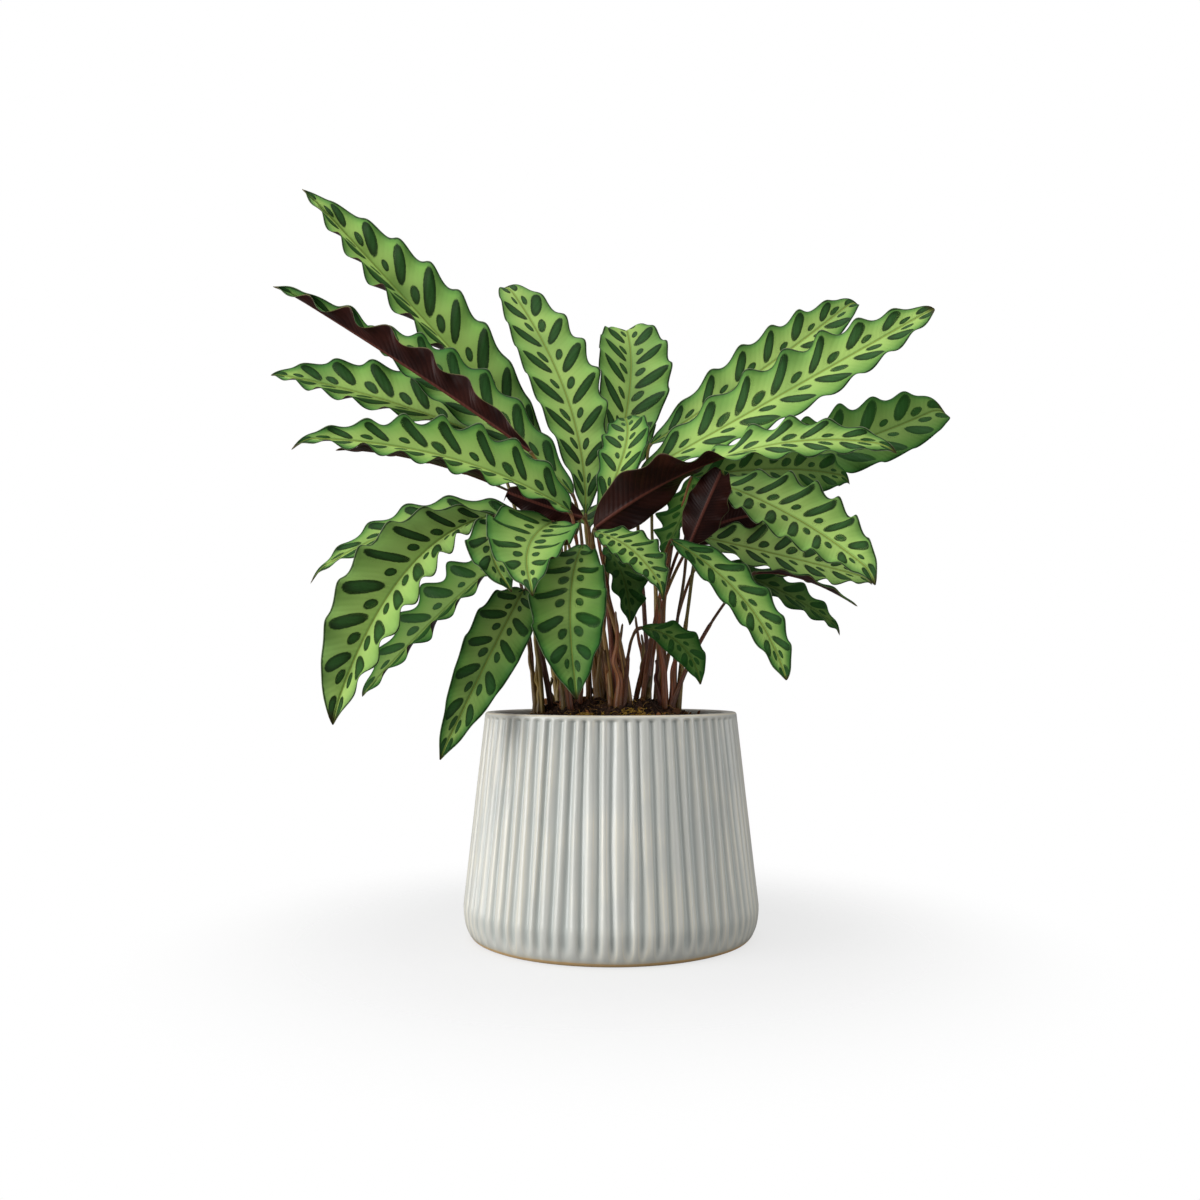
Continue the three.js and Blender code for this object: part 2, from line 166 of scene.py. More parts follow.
# %% [markdown]
# ## A tree of geometry nodes with named inputs
#
# Each rule is one tree. Its sizes are inputs, so that the same tree makes every leaf. A modifier sets them
# by the socket's identifier before the object is first evaluated. The evaluated result is then copied to a
# plain mesh, and the modifier goes, because the frame needs a finished mesh at the origin.


# %% Trees with named inputs
SOCKETS = {"number": "NodeSocketFloat", "count": "NodeSocketInt", "place": "NodeSocketVector",
           "material": "NodeSocketMaterial", "geometry": "NodeSocketGeometry"}


def add_inputs(tree, inputs):
    """Give a tree the named inputs, which are listed under their kinds, and return them as fields."""
    kinds = {label: kind for kind, labels in inputs.items() for label in labels.split(", ")}
    for label, kind in kinds.items():
        tree.interface.new_socket(label, in_out="INPUT", socket_type=SOCKETS[kind])
    entry = tree.nodes.new("NodeGroupInput")
    forms = {label: Directed if kind == "place" else Field for label, kind in kinds.items()}
    return {label: form(tree, entry.outputs[label]) for label, form in forms.items()}


def geometry_tree(name, **inputs):
    """A new tree that changes its Geometry by the named inputs."""
    tree = bpy.data.node_groups.new(name, "GeometryNodeTree")
    tree.interface.new_socket("Geometry", in_out="OUTPUT", socket_type=SOCKETS["geometry"])
    return tree, add_inputs(tree, {"geometry": "Geometry", **inputs})


def step(geometry, kind, inputs=None, **settings):
    """Place a node that changes geometry, and give its changed geometry."""
    made = node(geometry.tree, "GeometryNode" + kind, inputs, **settings)
    plug(geometry, made.inputs[0])
    return Field(geometry.tree, made.outputs[0])


def kept(geometry, name, value, domain="POINT", data_type="FLOAT"):
    """Store a value on the geometry, for later steps and for the shaders to read."""
    inputs = {"Name": name, "Value": value}
    return step(geometry, "StoreNamedAttribute", inputs, data_type=data_type, domain=domain)


def named(tree, name, form=field, data_type="FLOAT"):
    """A value that was stored on the geometry."""
    return form(tree, "GeometryNodeInputNamedAttribute", {"Name": name}, "Attribute", data_type=data_type)


def own_place(tree):
    return directed(tree, "GeometryNodeInputPosition")


def close_tree(geometry, material, other=None, chosen=None):
    """Make instances real, give all faces the material, and the chosen ones the other material."""
    whole = step(geometry, "RealizeInstances")
    whole = step(whole, "SetMaterial", {"Material": material})
    if other:
        whole = step(whole, "SetMaterial", {"Material": other, "Selection": chosen})
    plug(whole, geometry.tree.nodes.new("NodeGroupOutput").inputs["Geometry"])
    return geometry.tree


# %% Grow a tree
def grow(name, tree, values, start=None):
    """Run a tree on a start mesh, and keep what it makes as a plain mesh object at the origin."""
    start = start or bpy.data.meshes.new(name + "_start")
    seed_object = bpy.data.objects.new(name + "_start", start)
    bpy.context.scene.collection.objects.link(seed_object)
    modifier = seed_object.modifiers.new("rule", "NODES")
    modifier.node_group = tree
    for item in tree.interface.items_tree:
        if item.in_out == "INPUT" and item.name in values:
            modifier[item.identifier] = values[item.name]
    seed_object.update_tag()
    depsgraph = bpy.context.evaluated_depsgraph_get()
    mesh = bpy.data.meshes.new_from_object(seed_object.evaluated_get(depsgraph))
    bpy.data.objects.remove(seed_object)
    mesh.name = name
    made = bpy.data.objects.new(name, mesh)
    bpy.context.scene.collection.objects.link(made)
    return made


print("kinds of input:", ", ".join(SOCKETS))

# %% [markdown]
# ## The camera
#
# The photo looks at the plant from a little above the pot's rim, tilted up by four degrees. Its place comes
# from the ellipses of the rim and the foot, whose real sizes are known.

# %% Camera
CAMERA_PLACE = (-6.7, -688, 156.3)
CAMERA_TILT = 4.011
LENS = 33.0
SENSOR = 36.0

camera_data = bpy.data.cameras.new("camera")
camera_data.lens = LENS
camera_data.sensor_width = SENSOR
camera_data.sensor_fit = "HORIZONTAL"
camera_data.clip_start = 0.01
camera = bpy.data.objects.new("camera", camera_data)
camera.location = Vector(CAMERA_PLACE) * MM
camera.rotation_euler = (math.radians(90 + CAMERA_TILT), 0, 0)
bpy.context.scene.collection.objects.link(camera)
bpy.context.scene.camera = camera
print("camera at", tuple(round(c, 4) for c in camera.location))

# %% [markdown]
# ## The leaves, one by one
#
# No two leaves are alike, but all follow one rule, so a row of a table is enough for each. Three points
# give its midrib, in millimetres: where the stalk ends, the middle, and the tip. Then comes the greatest
# width. `widest` says how far along it lies, and `taper` how drawn out the tip is. `roll` turns the blade
# about the midrib at its base, middle and tip, and `fold` lifts its left and right halves, all in degrees.
# `waves` are counted along one edge, and `ruffle` is how strong they are. `tone` is partly how fresh the
# green is and partly painted light and shade: young leaves and leaves in full light are light and yellowish,
# old leaves and those in the plant's shade are painted dark and bluish.

# %% Leaf table
USUAL = {"widest": 0.5, "taper": 0.7, "roll": (0, 0, 0), "fold": (12, 12), "waves": 6,
         "tone": 0.5, "ruffle": 1.0}
Leaf = namedtuple("Leaf", ["shoot", "base", "middle", "tip", "width", *USUAL], defaults=USUAL.values())

LEAVES = [
    # Reaching up and out to the left
    Leaf("left_back", (-44, 36, 305), (-125, 58, 399), (-218, 70, 503), 60,
         widest=0.52, taper=0.95, roll=(-50, -62, -66), fold=(50, 32), waves=9, tone=0.6),
    Leaf("centre", (-50, -6, 297), (-125, -19, 347), (-208, -26, 398), 28,
         roll=(0, -5, -95), fold=(70, 60), waves=7, tone=0.45, ruffle=2.2),
    Leaf("centre", (-24, 4, 272), (-98, 12, 341), (-166, 20, 388), 44,
         widest=0.45, taper=0.8, roll=(-45, -55, -55), waves=7, tone=0.35),
    Leaf("left_back", (-82, 40, 316), (-160, 58, 348), (-238, 72, 369), 48,
         widest=0.42, taper=0.8, roll=(-50, -60, -60), fold=(36, 36), tone=0.45),
    Leaf("left_front", (-25, -22, 257), (-95, -52, 284), (-181, -74, 291), 50,
         widest=0.38, taper=0.85, roll=(-56, -56, -60), fold=(32, 20), waves=8, tone=0.48),
    Leaf("centre", (-27, 14, 256), (-102, 12, 290), (-176, 8, 302), 34,
         widest=0.6, taper=0.8, roll=(-10, -5, 0), fold=(10, 10), tone=0.35),
    # Drooping on the left
    Leaf("left_back", (-50, 40, 259), (-131, 64, 261), (-211, 86, 228), 34,
         widest=0.45, taper=0.9, roll=(-50, -60, -60), fold=(20, 12), tone=0.55),
    Leaf("left", (-71, -18, 255), (-120, -50, 217), (-154, -78, 134), 57,
         widest=0.58, taper=0.65, roll=(-45, -50, -52), fold=(44, 32), waves=8, tone=0.95),
    Leaf("left", (-66, 18, 232), (-107, 36, 203), (-166, 52, 144), 48,
         taper=0.65, roll=(-45, -52, -52), fold=(22, 22), tone=0.14),
    Leaf("left", (-53, -22, 209), (-69, -50, 172), (-95, -76, 112), 38,
         widest=0.45, roll=(-45, -55, -55), fold=(34, 16), tone=0.3),
    # Bending over towards the front
    Leaf("left_front", (-35, -34, 249), (-46, -84, 228), (-41, -130, 201), 54,
         widest=0.4, taper=0.75, roll=(-20, -12, 0), fold=(26, 16), waves=5, tone=0.38, ruffle=0.7),
    Leaf("left_front", (-56, -46, 250), (-68, -66, 231), (-55, -88, 204), 30,
         taper=0.8, fold=(15, 15), waves=4, tone=0.5),
    Leaf("left_front", (-17, -34, 235), (-23, -80, 199), (-19, -102, 148), 46,
         widest=0.55, fold=(28, 18), tone=0.28),
    Leaf("front", (-10, -34, 243), (12, -50, 230), (29, -66, 206), 32, roll=(25, 25, 25), tone=0.6,
         ruffle=0.7),
    Leaf("front", (-3, -14, 236), (7, -26, 216), (11, -30, 190), 30, fold=(15, 15), waves=4, tone=0.0),
    Leaf("front", (18, -26, 186), (40, -42, 176), (51, -54, 154), 21, roll=(40, 45, 45), waves=4, tone=0.0),
    # Standing up in the middle
    Leaf("centre", (-16, 12, 260), (-30, 42, 347), (-75, 78, 438), 52,
         widest=0.58, taper=0.5, roll=(-12, -14, -14), fold=(6, 22), waves=8, tone=0.68, ruffle=0.8),
    Leaf("back", (-4, 36, 274), (14, 74, 357), (12, 116, 418), 58,
         widest=0.6, taper=0.5, roll=(20, 26, 4), fold=(25, 25), waves=7, tone=0.65, ruffle=0.6),
    Leaf("front", (-8, -8, 255), (9, 6, 300), (10, 40, 330), 33,
         widest=0.55, taper=0.5, fold=(14, 14), waves=5, tone=0.45, ruffle=0.7),
    # Reaching out to the right
    Leaf("right_back", (27, 42, 312), (109, 72, 373), (183, 104, 435), 43,
         widest=0.52, taper=0.6, roll=(50, 60, 60), waves=7, tone=0.55),
    Leaf("right", (19, 10, 286), (113, -4, 337), (202, -16, 386), 50,
         widest=0.45, taper=0.55, roll=(50, 62, 62), fold=(12, 14), waves=8, tone=0.6),
    Leaf("right_back", (54, 46, 289), (150, 68, 313), (240, 86, 350), 54,
         widest=0.6, taper=0.4, roll=(45, 60, 64), waves=7, tone=0.12),
    Leaf("front", (-10, -27, 246), (75, -54, 287), (162, -70, 287), 42,
         widest=0.36, taper=0.65, roll=(-100, 30, 60), waves=8, tone=0.6),
    Leaf("right_back", (52, 17, 285), (112, 30, 293), (161, 44, 290), 44,
         roll=(55, 68, 70), waves=6, tone=0.1),
    # Drooping on the right
    Leaf("right_front", (66, -4, 278), (109, -42, 250), (146, -80, 213), 48,
         widest=0.45, taper=0.6, roll=(40, 50, 58), fold=(12, 28), waves=7, tone=0.75),
    Leaf("right", (57, 6, 245), (111, 10, 233), (168, 16, 219), 46, widest=0.48, roll=(45, 50, 50), tone=0.9),
    Leaf("right_front", (36, -34, 238), (74, -66, 201), (94, -92, 155), 28,
         widest=0.48, taper=0.6, roll=(40, 40, 40), fold=(12, 24), tone=0.35),
    Leaf("right_back", (60, 26, 231), (113, 40, 213), (155, 54, 189), 30,
         taper=0.6, roll=(45, 50, 50), waves=5, tone=0.0),
    Leaf("right", (52, 2, 283), (46, -3, 260), (33, -9, 234), 42, taper=0.6, waves=4, tone=0.0),
    Leaf("right_front", (88, -18, 220), (116, -23, 216), (149, -24, 199), 13,
         roll=(10, 10, 20), fold=(20, 20), waves=4, tone=0.2),
    # Leaning to the back, where the leaves in front hide them
    Leaf("left_back", (-36, 52, 286), (-74, 98, 318), (-118, 144, 316), 44),
    Leaf("back", (4, 56, 278), (12, 106, 330), (20, 164, 358), 44),
    Leaf("back", (-14, 56, 258), (-30, 114, 276), (-42, 170, 254), 42),
    # Showing their undersides
    Leaf("right_front", (48, -22, 237), (57, -32, 259), (67, -40, 282), 26,
         widest=0.45, taper=0.5, roll=(-60, -60, -60), waves=4, tone=0.4),
    Leaf("right_back", (48, 22, 244), (84, 24, 260), (124, 26, 262), 34,
         roll=(-70, -70, -70), waves=5, tone=0.2),
    Leaf("centre", (-17, -12, 255), (-41, -15, 262), (-66, -16, 271), 22,
         taper=0.6, roll=(62, 62, 62), waves=4, tone=0.2),
]
print("leaves:", len(LEAVES))

# %% [markdown]
# ## Colours and shared shading
#
# Colours are written as they look on a screen and turned to the linear values that a shader takes. A finish
# is built up as a painter would: a base, and over it one layer after another, each as strong as its mask.
# Two effects are used by more than one material, so each is a node group: the side veins of a blade, and a
# cloudy mottling with a fine grain.


# %% Material helpers
def colour(text):
    """'#rrggbb' as seen on a screen, in the linear values that shaders use."""
    parts = [int(text[i:i + 2], 16) / 255 for i in (1, 3, 5)]
    linear = [c / 12.92 if c <= 0.04045 else ((c + 0.055) / 1.055) ** 2.4 for c in parts]
    return (*linear, 1.0)


def mix(share, first, last):
    """Blend two colours, which are fields or '#rrggbb'."""
    first, last = (colour(end) if isinstance(end, str) else end for end in (first, last))
    return field(share.tree, "ShaderNodeMix", {"Factor": share, 6: first, 7: last}, 2, data_type="RGBA")


def layered(base, *layers):
    """Lay colours over a base, each where its mask is strong."""
    for mask, over in layers:
        base = mix(mask, base, over)
    return base


def new_material(name, roughness, **constants):
    """A material with one Principled BSDF. The constants go straight to its sockets."""
    made = bpy.data.materials.new(name)
    made.use_nodes = True
    shader = made.node_tree.nodes["Principled BSDF"]
    for socket, value in {"Roughness": roughness, **constants}.items():
        shader.inputs[socket.replace("_", " ")].default_value = value
    return made, made.node_tree, shader


def drive(shader, **sockets):
    """Let fields drive the named sockets of a shader."""
    for socket, value in sockets.items():
        plug(value, shader.inputs[socket.replace("_", " ")])


def bump(shader, height, distance):
    bumped = field(height.tree, "ShaderNodeBump", {"Height": height, "Distance": distance, "Strength": 1.0})
    plug(bumped, shader.inputs["Normal"])


def read(tree, names):
    """The values that the geometry tree kept under these names."""
    kept_values = {"attribute_type": "GEOMETRY", "output": "Fac"}
    return [field(tree, "ShaderNodeAttribute", attribute_name=name, **kept_values) for name in names.split()]


def place_on_object(tree):
    return directed(tree, "ShaderNodeTexCoord", output="Object")


def shader_group(name, outputs, **inputs):
    """A shared effect: a node group with named inputs and outputs."""
    tree = bpy.data.node_groups.new(name, "ShaderNodeTree")
    for label in outputs:
        tree.interface.new_socket(label, in_out="OUTPUT", socket_type=SOCKETS["number"])
    value = add_inputs(tree, inputs)
    return tree, value, tree.nodes.new("NodeGroupOutput").inputs


def use_group(group, **inputs):
    """Place a shared effect in the material of its first input, and give its outputs."""
    tree = next(iter(inputs.values())).tree
    made = node(tree, "ShaderNodeGroup", inputs, node_tree=group)
    return [Field(tree, socket) for socket in made.outputs]


print("mid grey is", round(colour("#808080")[0], 3), "to a shader")

# %% Shared effect: side veins
# Side veins leave the midrib at a slant and run straight to the margin, several for each wave of the edge.
VEINS_PER_WAVE = 7
VEIN_LEAN = 0.3

SIDE_VEINS, given, wanted = shader_group("side_veins", ["Line", "Quilt"], number="Phase, Out")
ripple = ((given["Phase"] - given["Out"] * VEIN_LEAN) * (TURN * VEINS_PER_WAVE)).cos()
plug(ripple.between(0.8, 1.0), wanted["Line"])
plug(ripple, wanted["Quilt"])
print("nodes in side_veins:", len(SIDE_VEINS.nodes))

# %% Shared effect: mottle
# Slow cloudiness and fine grain together keep a colour from looking sprayed on.
MOTTLE, given, wanted = shader_group("mottle", ["Clouds", "Grain"], place="Place", number="Scale")
plug(noise(given["Place"], given["Scale"], 3.0), wanted["Clouds"])
plug(noise(given["Place"], given["Scale"] * 9.0, 4.0, 0.6), wanted["Grain"])
print("nodes in mottle:", len(MOTTLE.nodes))

# %% [markdown]
# ## The upper face of a blade
#
# The face is a light yellow-green. Large dark ovals point from the midrib to each crest of the edge, small
# round spots sit between them next to the midrib, and a dark line follows the margin. A painted picture
# would show them too, but it would repeat from leaf to leaf. So the pattern is drawn by formulas in the
# blade's own coordinates: `phase` counts waves from the stalk, and `across` goes from -1 at the right edge
# to 1 at the left. Each oval draws its own size by chance.

# %% Upper face
LIGHT_GREEN = "#aac96c"
MID_GREEN = "#639a43"
# painted shade on the blade, and the leaf's own darker band along the margin
SHADE_AND_MARGIN_GREEN = "#2e6a30"
SPOT_GREEN = "#0c200a"
SPOT_SHEEN_GREEN = "#2e5a2c"
MARGIN_GREEN = "#122b10"
RIB_OLIVE = "#7f8a38"
RIM_HIGHLIGHT = "#a3b08a"
DRY_BROWN = "#3a2a17"
SPOT_SLANT = 0.5
LARGE_OUT = 0.48
SMALL_OUT = 0.22


def oval(along, across, half_long, half_wide):
    """0 in the middle of an oval, 1 on its outline."""
    first = along / half_wide
    second = across / half_long
    return (first * first + second * second).root()


def upper_face():
    made, tree, shader = new_material("blade_upper", 0.55, Specular_IOR_Level=0.07)
    phase, across, margin, rib = read(tree, "phase across margin rib")
    tone, label, reached = read(tree, "tone label reached")
    place = place_on_object(tree)
    out = across.size()
    side = across.over(0.0)

    # The large ovals stand on slanted lines that end in the crests.
    slanted = phase + (0.85 - out) * SPOT_SLANT
    cell = (slanted + 0.5).floor()
    draw = chance(cell, side, label)
    draw_two = chance(cell + 0.37, side, label)
    beside = slanted - cell + (draw - 0.5) * 0.08
    large = oval(beside, out - (draw_two * 0.05 + LARGE_OUT), draw * 0.07 + 0.33, draw_two * 0.07 + 0.19)
    large = large + (noise(place, 700.0) - 0.5) * 0.15

    # The small ones stand half-way between them.
    cell = slanted.floor()
    draw = chance(cell + 0.5, side, label)
    draw_two = chance(cell + 0.87, side, label)
    beside = slanted - cell - 0.5 + (draw_two - 0.5) * 0.15
    small = oval(beside, out - SMALL_OUT - draw_two * 0.04, draw * 0.07 + 0.1, draw * 0.05 + 0.125)
    small = small + (noise(place, 900.0) - 0.5) * 0.2
    spots = large.between(0.93, 1.05, 1.0, 0.0).most(small.between(0.9, 1.08, 1.0, 0.0))

    # The ground is lightest along the middle of each half, and fresher towards the margin.
    clouds, _ = use_group(MOTTLE, Place=place, Scale=45.0)
    _, grain = use_group(MOTTLE, Place=place, Scale=160.0)
    line, quilt = use_group(SIDE_VEINS, Phase=phase, Out=out)
    # Painted shade: slow patches darken the ground where folds lie in shade, and the part near the stalk is
    # darker, where the leaves above shade it.
    shade = noise(place, 24.0, 1.0).between(0.45, 0.75) * 0.5 + reached.between(0.0, 0.25, 0.35, 0.0)
    # Painted sheen: the middle of each spot is lighter than its dark outline, where the gloss catches the
    # light.
    sheen_share = large.least(small).between(0.35, 0.95, 0.6, 0.0)
    inside = mix(sheen_share + grain.between(0.35, 0.7) * 0.25 + line * 0.15, SPOT_GREEN, SPOT_SHEEN_GREEN)
    band = margin + (noise(place, 220.0) - 0.5) * 0.0012
    dry = (reached + (clouds - 0.5) * 0.03).between(0.972, 0.995)
    painted = layered(
        LIGHT_GREEN,
        (out.between(0.15, 1.0) * 0.75 + clouds * 0.2, MID_GREEN),
        (line * 0.06, "#a8c766"),
        (shade, SHADE_AND_MARGIN_GREEN),
        # the leaf's own darker green band along the margin
        (margin.between(0.0008, 0.005, 0.7, 0.0), SHADE_AND_MARGIN_GREEN),
        # painted light: a high tone lightens a leaf, partly for its youth and partly for the light that falls
        # on it
        (tone.between(0.5, 1.0, 0.0, 0.45, smooth=False), "#b0cf76"),
        (spots * 0.96, inside),
        (band.between(0.0006, 0.0016, 0.95, 0.0), MARGIN_GREEN),
        # painted highlight: the thin edge of the blade catching the light
        (margin.between(0.0001, 0.0005, 0.55, 0.0), RIM_HIGHLIGHT),
        (rib.between(0.0002, 0.0007, 0.9, 0.0), RIB_OLIVE),
        # painted shadow: a thin dark line beside the midrib
        ((rib - 0.0009).size().between(0.0001, 0.0005, 0.35, 0.0), SHADE_AND_MARGIN_GREEN),
        # painted shade: a low tone darkens a leaf, partly for its age and partly for the shade it hangs in
        (tone.between(0.0, 0.5, 0.75, 0.0, smooth=False), "#17440d"),
        (dry * 0.75, DRY_BROWN),
    )
    drive(shader, Base_Color=painted, Roughness=spots.between(0.0, 1.0, 0.52, 0.46))
    bump(shader, quilt * 0.3 + grain * 0.6 - spots * 0.3 - rib.between(0.0, 0.0012, 2.0, 0.0), 0.00012)
    return made


BLADE_UPPER = upper_face()
print("nodes in the upper face:", len(BLADE_UPPER.node_tree.nodes))

# %% [markdown]
# ## The underside of a blade
#
# The underside is a deep maroon with a satin sheen. The midrib stands out paler, and the side veins show as
# fine lines. It could share the upper face's material with another colour, but it has no spots, so a
# material of its own is simpler, with the same side veins.

# %% Underside
MAROON = "#210c0a"
MAROON_LIGHT = "#3f1c15"
RIB_PALE = "#6b3b30"


def underside():
    made, tree, shader = new_material("blade_underside", 0.45, Specular_IOR_Level=0.16)
    phase, across, margin, rib = read(tree, "phase across margin rib")
    clouds, _ = use_group(MOTTLE, Place=place_on_object(tree), Scale=60.0)
    line, quilt = use_group(SIDE_VEINS, Phase=phase, Out=across.size())
    painted = layered(
        MAROON,
        (clouds.between(0.3, 0.75), MAROON_LIGHT),
        (line * 0.15, "#55291f"),
        (rib.between(0.0004, 0.0012, 0.9, 0.0), RIB_PALE),
        # painted highlight: the thin edge of the blade catching the light
        (margin.between(0.0001, 0.0006, 0.6, 0.0), "#8d8a5a"),
    )
    drive(shader, Base_Color=painted)
    bump(shader, quilt * -0.5 + clouds * 0.4, 0.00012)
    return made


BLADE_UNDER = underside()
print("nodes in the underside:", len(BLADE_UNDER.node_tree.nodes))

# %% [markdown]
# ## The blade
#
# A blade is a thin sheet, wavy along its edges, on a stiff midrib. It could be sculpted, but 36 of them
# that differ only in a few numbers call for a rule, which bends a flat grid into place. Each grid point
# becomes a step along the midrib and a reach to the left or right. The midrib is a parabola through three
# points, the outline is a stretched sine, and the edge waves are a cosine that fades towards the midrib.
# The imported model's blades follow the same rule, and here it has finer steps, sharper crests and uneven
# waves.

# %% Blade measures
BASE_WIDTH = 2.6
TIP_WIDTH = 0.9
BASE_TAPER = 0.65
WAVE_HEIGHT = 3.4
WAVE_WIDTH = 45.0
WAVE_CURL = 2.1
WAVE_FADE = 0.55
SCALLOP = 0.09
CREST = 0.08
VEIN_SLANT = 0.05
HALF_THICKNESS = 0.22
RIB_HEIGHT = 0.9
RIB_SPREAD = 0.9
HOOK = 7.0
SAME_PLACE = 1e-6
ROWS_PER_WAVE = 22
COLUMNS = 37
print("a blade is", 2 * HALF_THICKNESS, "mm thick")


# %% Blade tree: grid and midrib
def flat_grid(tree, rows, columns, width=1.0):
    """A grid for a rule to bend, with the way along it from 0 to 1 and the way across from its middle."""
    sizes = {"Size X": 1.0, "Size Y": width, "Vertices X": rows, "Vertices Y": columns}
    place = own_place(tree)
    return field(tree, "GeometryNodeMeshGrid", sizes, "Mesh"), place.part("X") + 0.5, place.part("Y")


def weighed(points, weights):
    first, second, third = (point.times(weight) for point, weight in zip(points, weights))
    return first + second + third


def level_side(heading, tangent):
    """The level direction to the left of a heading, square to the tangent."""
    side = vector(heading.part("Y") * -1.0, heading.part("X"), 0.0)
    return (side - tangent.times(side.dot(tangent))).unit()


def midrib(value, ahead):
    """The place on the midrib, and the directions to the left of it and up from it."""
    points = [value["Base"], value["Middle"], value["Tip"]]
    weights = [(1.0 - ahead) * (1.0 - ahead * 2.0), ahead * (1.0 - ahead) * 4.0, ahead * (ahead * 2.0 - 1.0)]
    tangent = weighed(points, [ahead * 4.0 - 3.0, 4.0 - ahead * 8.0, ahead * 4.0 - 1.0]).unit()
    turning = {"Vector": level_side(value["Tip"] - value["Base"], tangent), "Axis": tangent,
               "Angle": value["Rolls"].dot(vector(*weights))}
    left = directed(ahead.tree, "ShaderNodeVectorRotate", turning, rotation_type="AXIS_ANGLE")
    return weighed(points, weights), left, tangent.cross(left)


# %% Blade tree: outline and waves
def outline(value, u, ahead):
    """Half the width of the blade."""
    shift = value["Widest"].log(math.e) ** -1.0 * math.log(0.5)
    arch = ((ahead.most(0.0).least(1.0) ** shift) * math.pi).sin().most(0.0)
    power = (value["Taper"] - BASE_TAPER) * ahead.over(value["Widest"]) + BASE_TAPER
    least = (u * (TIP_WIDTH - BASE_WIDTH) + BASE_WIDTH) * (MM / 2)
    return (arch ** power * value["Width"] * 0.5).most(least)


def blade_tree():
    tree, value = geometry_tree(
        "wavy_blade", place="Base, Middle, Tip, Rolls", count="Rows", material="Upper, Under",
        number="Width, Widest, Taper, Left Fold, Right Fold, Waves, Tone, Ruffle, Label")
    sheet, u, v = flat_grid(tree, value["Rows"], COLUMNS, 2.0)
    u = u.most(0.0).least(1.0)
    out = v.size()
    arc = (u * math.pi).sin().most(0.0)
    ahead = u + out * arc * VEIN_SLANT
    place, left, up = midrib(value, ahead)
    half = outline(value, u, ahead)

    # The edge waves differ a little from crest to crest and from side to side.
    phase = u * value["Waves"]
    ripple = (phase * TURN).cos() + ((phase * (2 * TURN)).cos() - 1.0) * CREST
    seat = vector(phase * 0.7, v.sign() * 3.0, value["Label"])
    uneven = noise(seat, 1.0, 1.0).between(0.2, 0.8, 0.55, 1.45, smooth=False)
    wave = ripple * (arc ** WAVE_FADE) * uneven * value["Ruffle"]
    reach = half * out * (wave * SCALLOP + 1.0)
    lift = wave * (out ** WAVE_CURL) * value["Width"] * (WAVE_HEIGHT / WAVE_WIDTH)
    fold = value["Left Fold"] * v.over(0.0) + value["Right Fold"] * (1.0 - v.over(0.0))
    sideways = v.sign() * (reach * fold.cos() - lift * fold.sin())
    upward = reach * fold.sin() + lift * fold.cos()
    hook = u.between(0.93, 1.0, smooth=False) ** 2.0 * chance(value["Label"], 0.5, 0.0)
    drop = vector(0.0, 0.0, hook * (-MM * HOOK))
    place = place + left.times(sideways) + up.times(upward) + drop

    marks = {"phase": phase, "across": v, "rib": reach, "margin": half * (1.0 - out), "tone": value["Tone"],
             "label": value["Label"], "reached": u}
    for name, mark in marks.items():
        sheet = kept(sheet, name, mark)
    sheet = kept(sheet, "UVMap", vector(u, v * 0.5 + 0.5, 0.0), "CORNER", "FLOAT2")
    sheet = step(sheet, "SetPosition", {"Position": place})
    under = named(tree, "under").over(0.5)
    return close_tree(two_faces(sheet), value["Upper"], value["Under"], under)


# %% [markdown]
# The sheet is then doubled, and the copies are pushed apart, most at the midrib and not at all at the rim,
# so that they close there. A Solidify modifier would give it a square rim and no midrib.

# %% Blade tree: two faces
def two_faces(sheet):
    tree = sheet.tree
    along = named(tree, "UVMap", directed, "FLOAT_VECTOR").part("X")
    ends = 1.0 - (along * 2.0 - 1.0).size() ** 60.0
    sides = (1.0 - named(tree, "across").size() ** 14.0).most(0.0)
    rim = (ends.most(0.0) * sides).root()
    near = (named(tree, "rib") / (RIB_SPREAD * MM)) ** 2.0 * -1.0
    ridge = near.exp() * (1.0 - along * 0.8) * (RIB_HEIGHT * MM)
    normal = directed(tree, "GeometryNodeInputNormal")
    above = normal.times(rim * (HALF_THICKNESS * MM))
    below = normal.times(rim * (ridge + HALF_THICKNESS * MM) * -1.0)
    top = kept(step(sheet, "SetPosition", {"Offset": above}), "under", 0.0, "FACE")
    bottom = step(step(sheet, "SetPosition", {"Offset": below}), "FlipFaces")
    bottom = kept(bottom, "under", 1.0, "FACE")
    both = tree.nodes.new("GeometryNodeJoinGeometry")
    for half in (bottom, top):
        plug(half, both.inputs[0])
    whole = step(Field(tree, both.outputs[0]), "MergeByDistance", {"Distance": SAME_PLACE})
    return step(whole, "SetShadeSmooth")


BLADE_RULE = blade_tree()
print("nodes in the blade rule:", len(BLADE_RULE.nodes))


# %% Grow the blades
def in_metres(point):
    return tuple(c * MM for c in point)


def in_radians(angles):
    return tuple(math.radians(angle) for angle in angles)


for number, leaf in enumerate(LEAVES, start=1):
    left, right = in_radians(leaf.fold)
    values = {
        "Base": in_metres(leaf.base), "Middle": in_metres(leaf.middle), "Tip": in_metres(leaf.tip),
        "Width": leaf.width * MM, "Widest": leaf.widest, "Taper": leaf.taper, "Rolls": in_radians(leaf.roll),
        "Left Fold": left, "Right Fold": right, "Waves": float(leaf.waves), "Tone": leaf.tone,
        "Ruffle": leaf.ruffle, "Rows": leaf.waves * ROWS_PER_WAVE + 1, "Label": float(number),
        "Upper": BLADE_UPPER, "Under": BLADE_UNDER,
    }
    blade = grow(f"blade_{number:02d}", BLADE_RULE, values)
    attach(blade, "root")
    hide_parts(f"leaf_{number:02d}")
print("blades grown:", len(LEAVES), "with", len(blade.data.polygons), "faces in the last one")

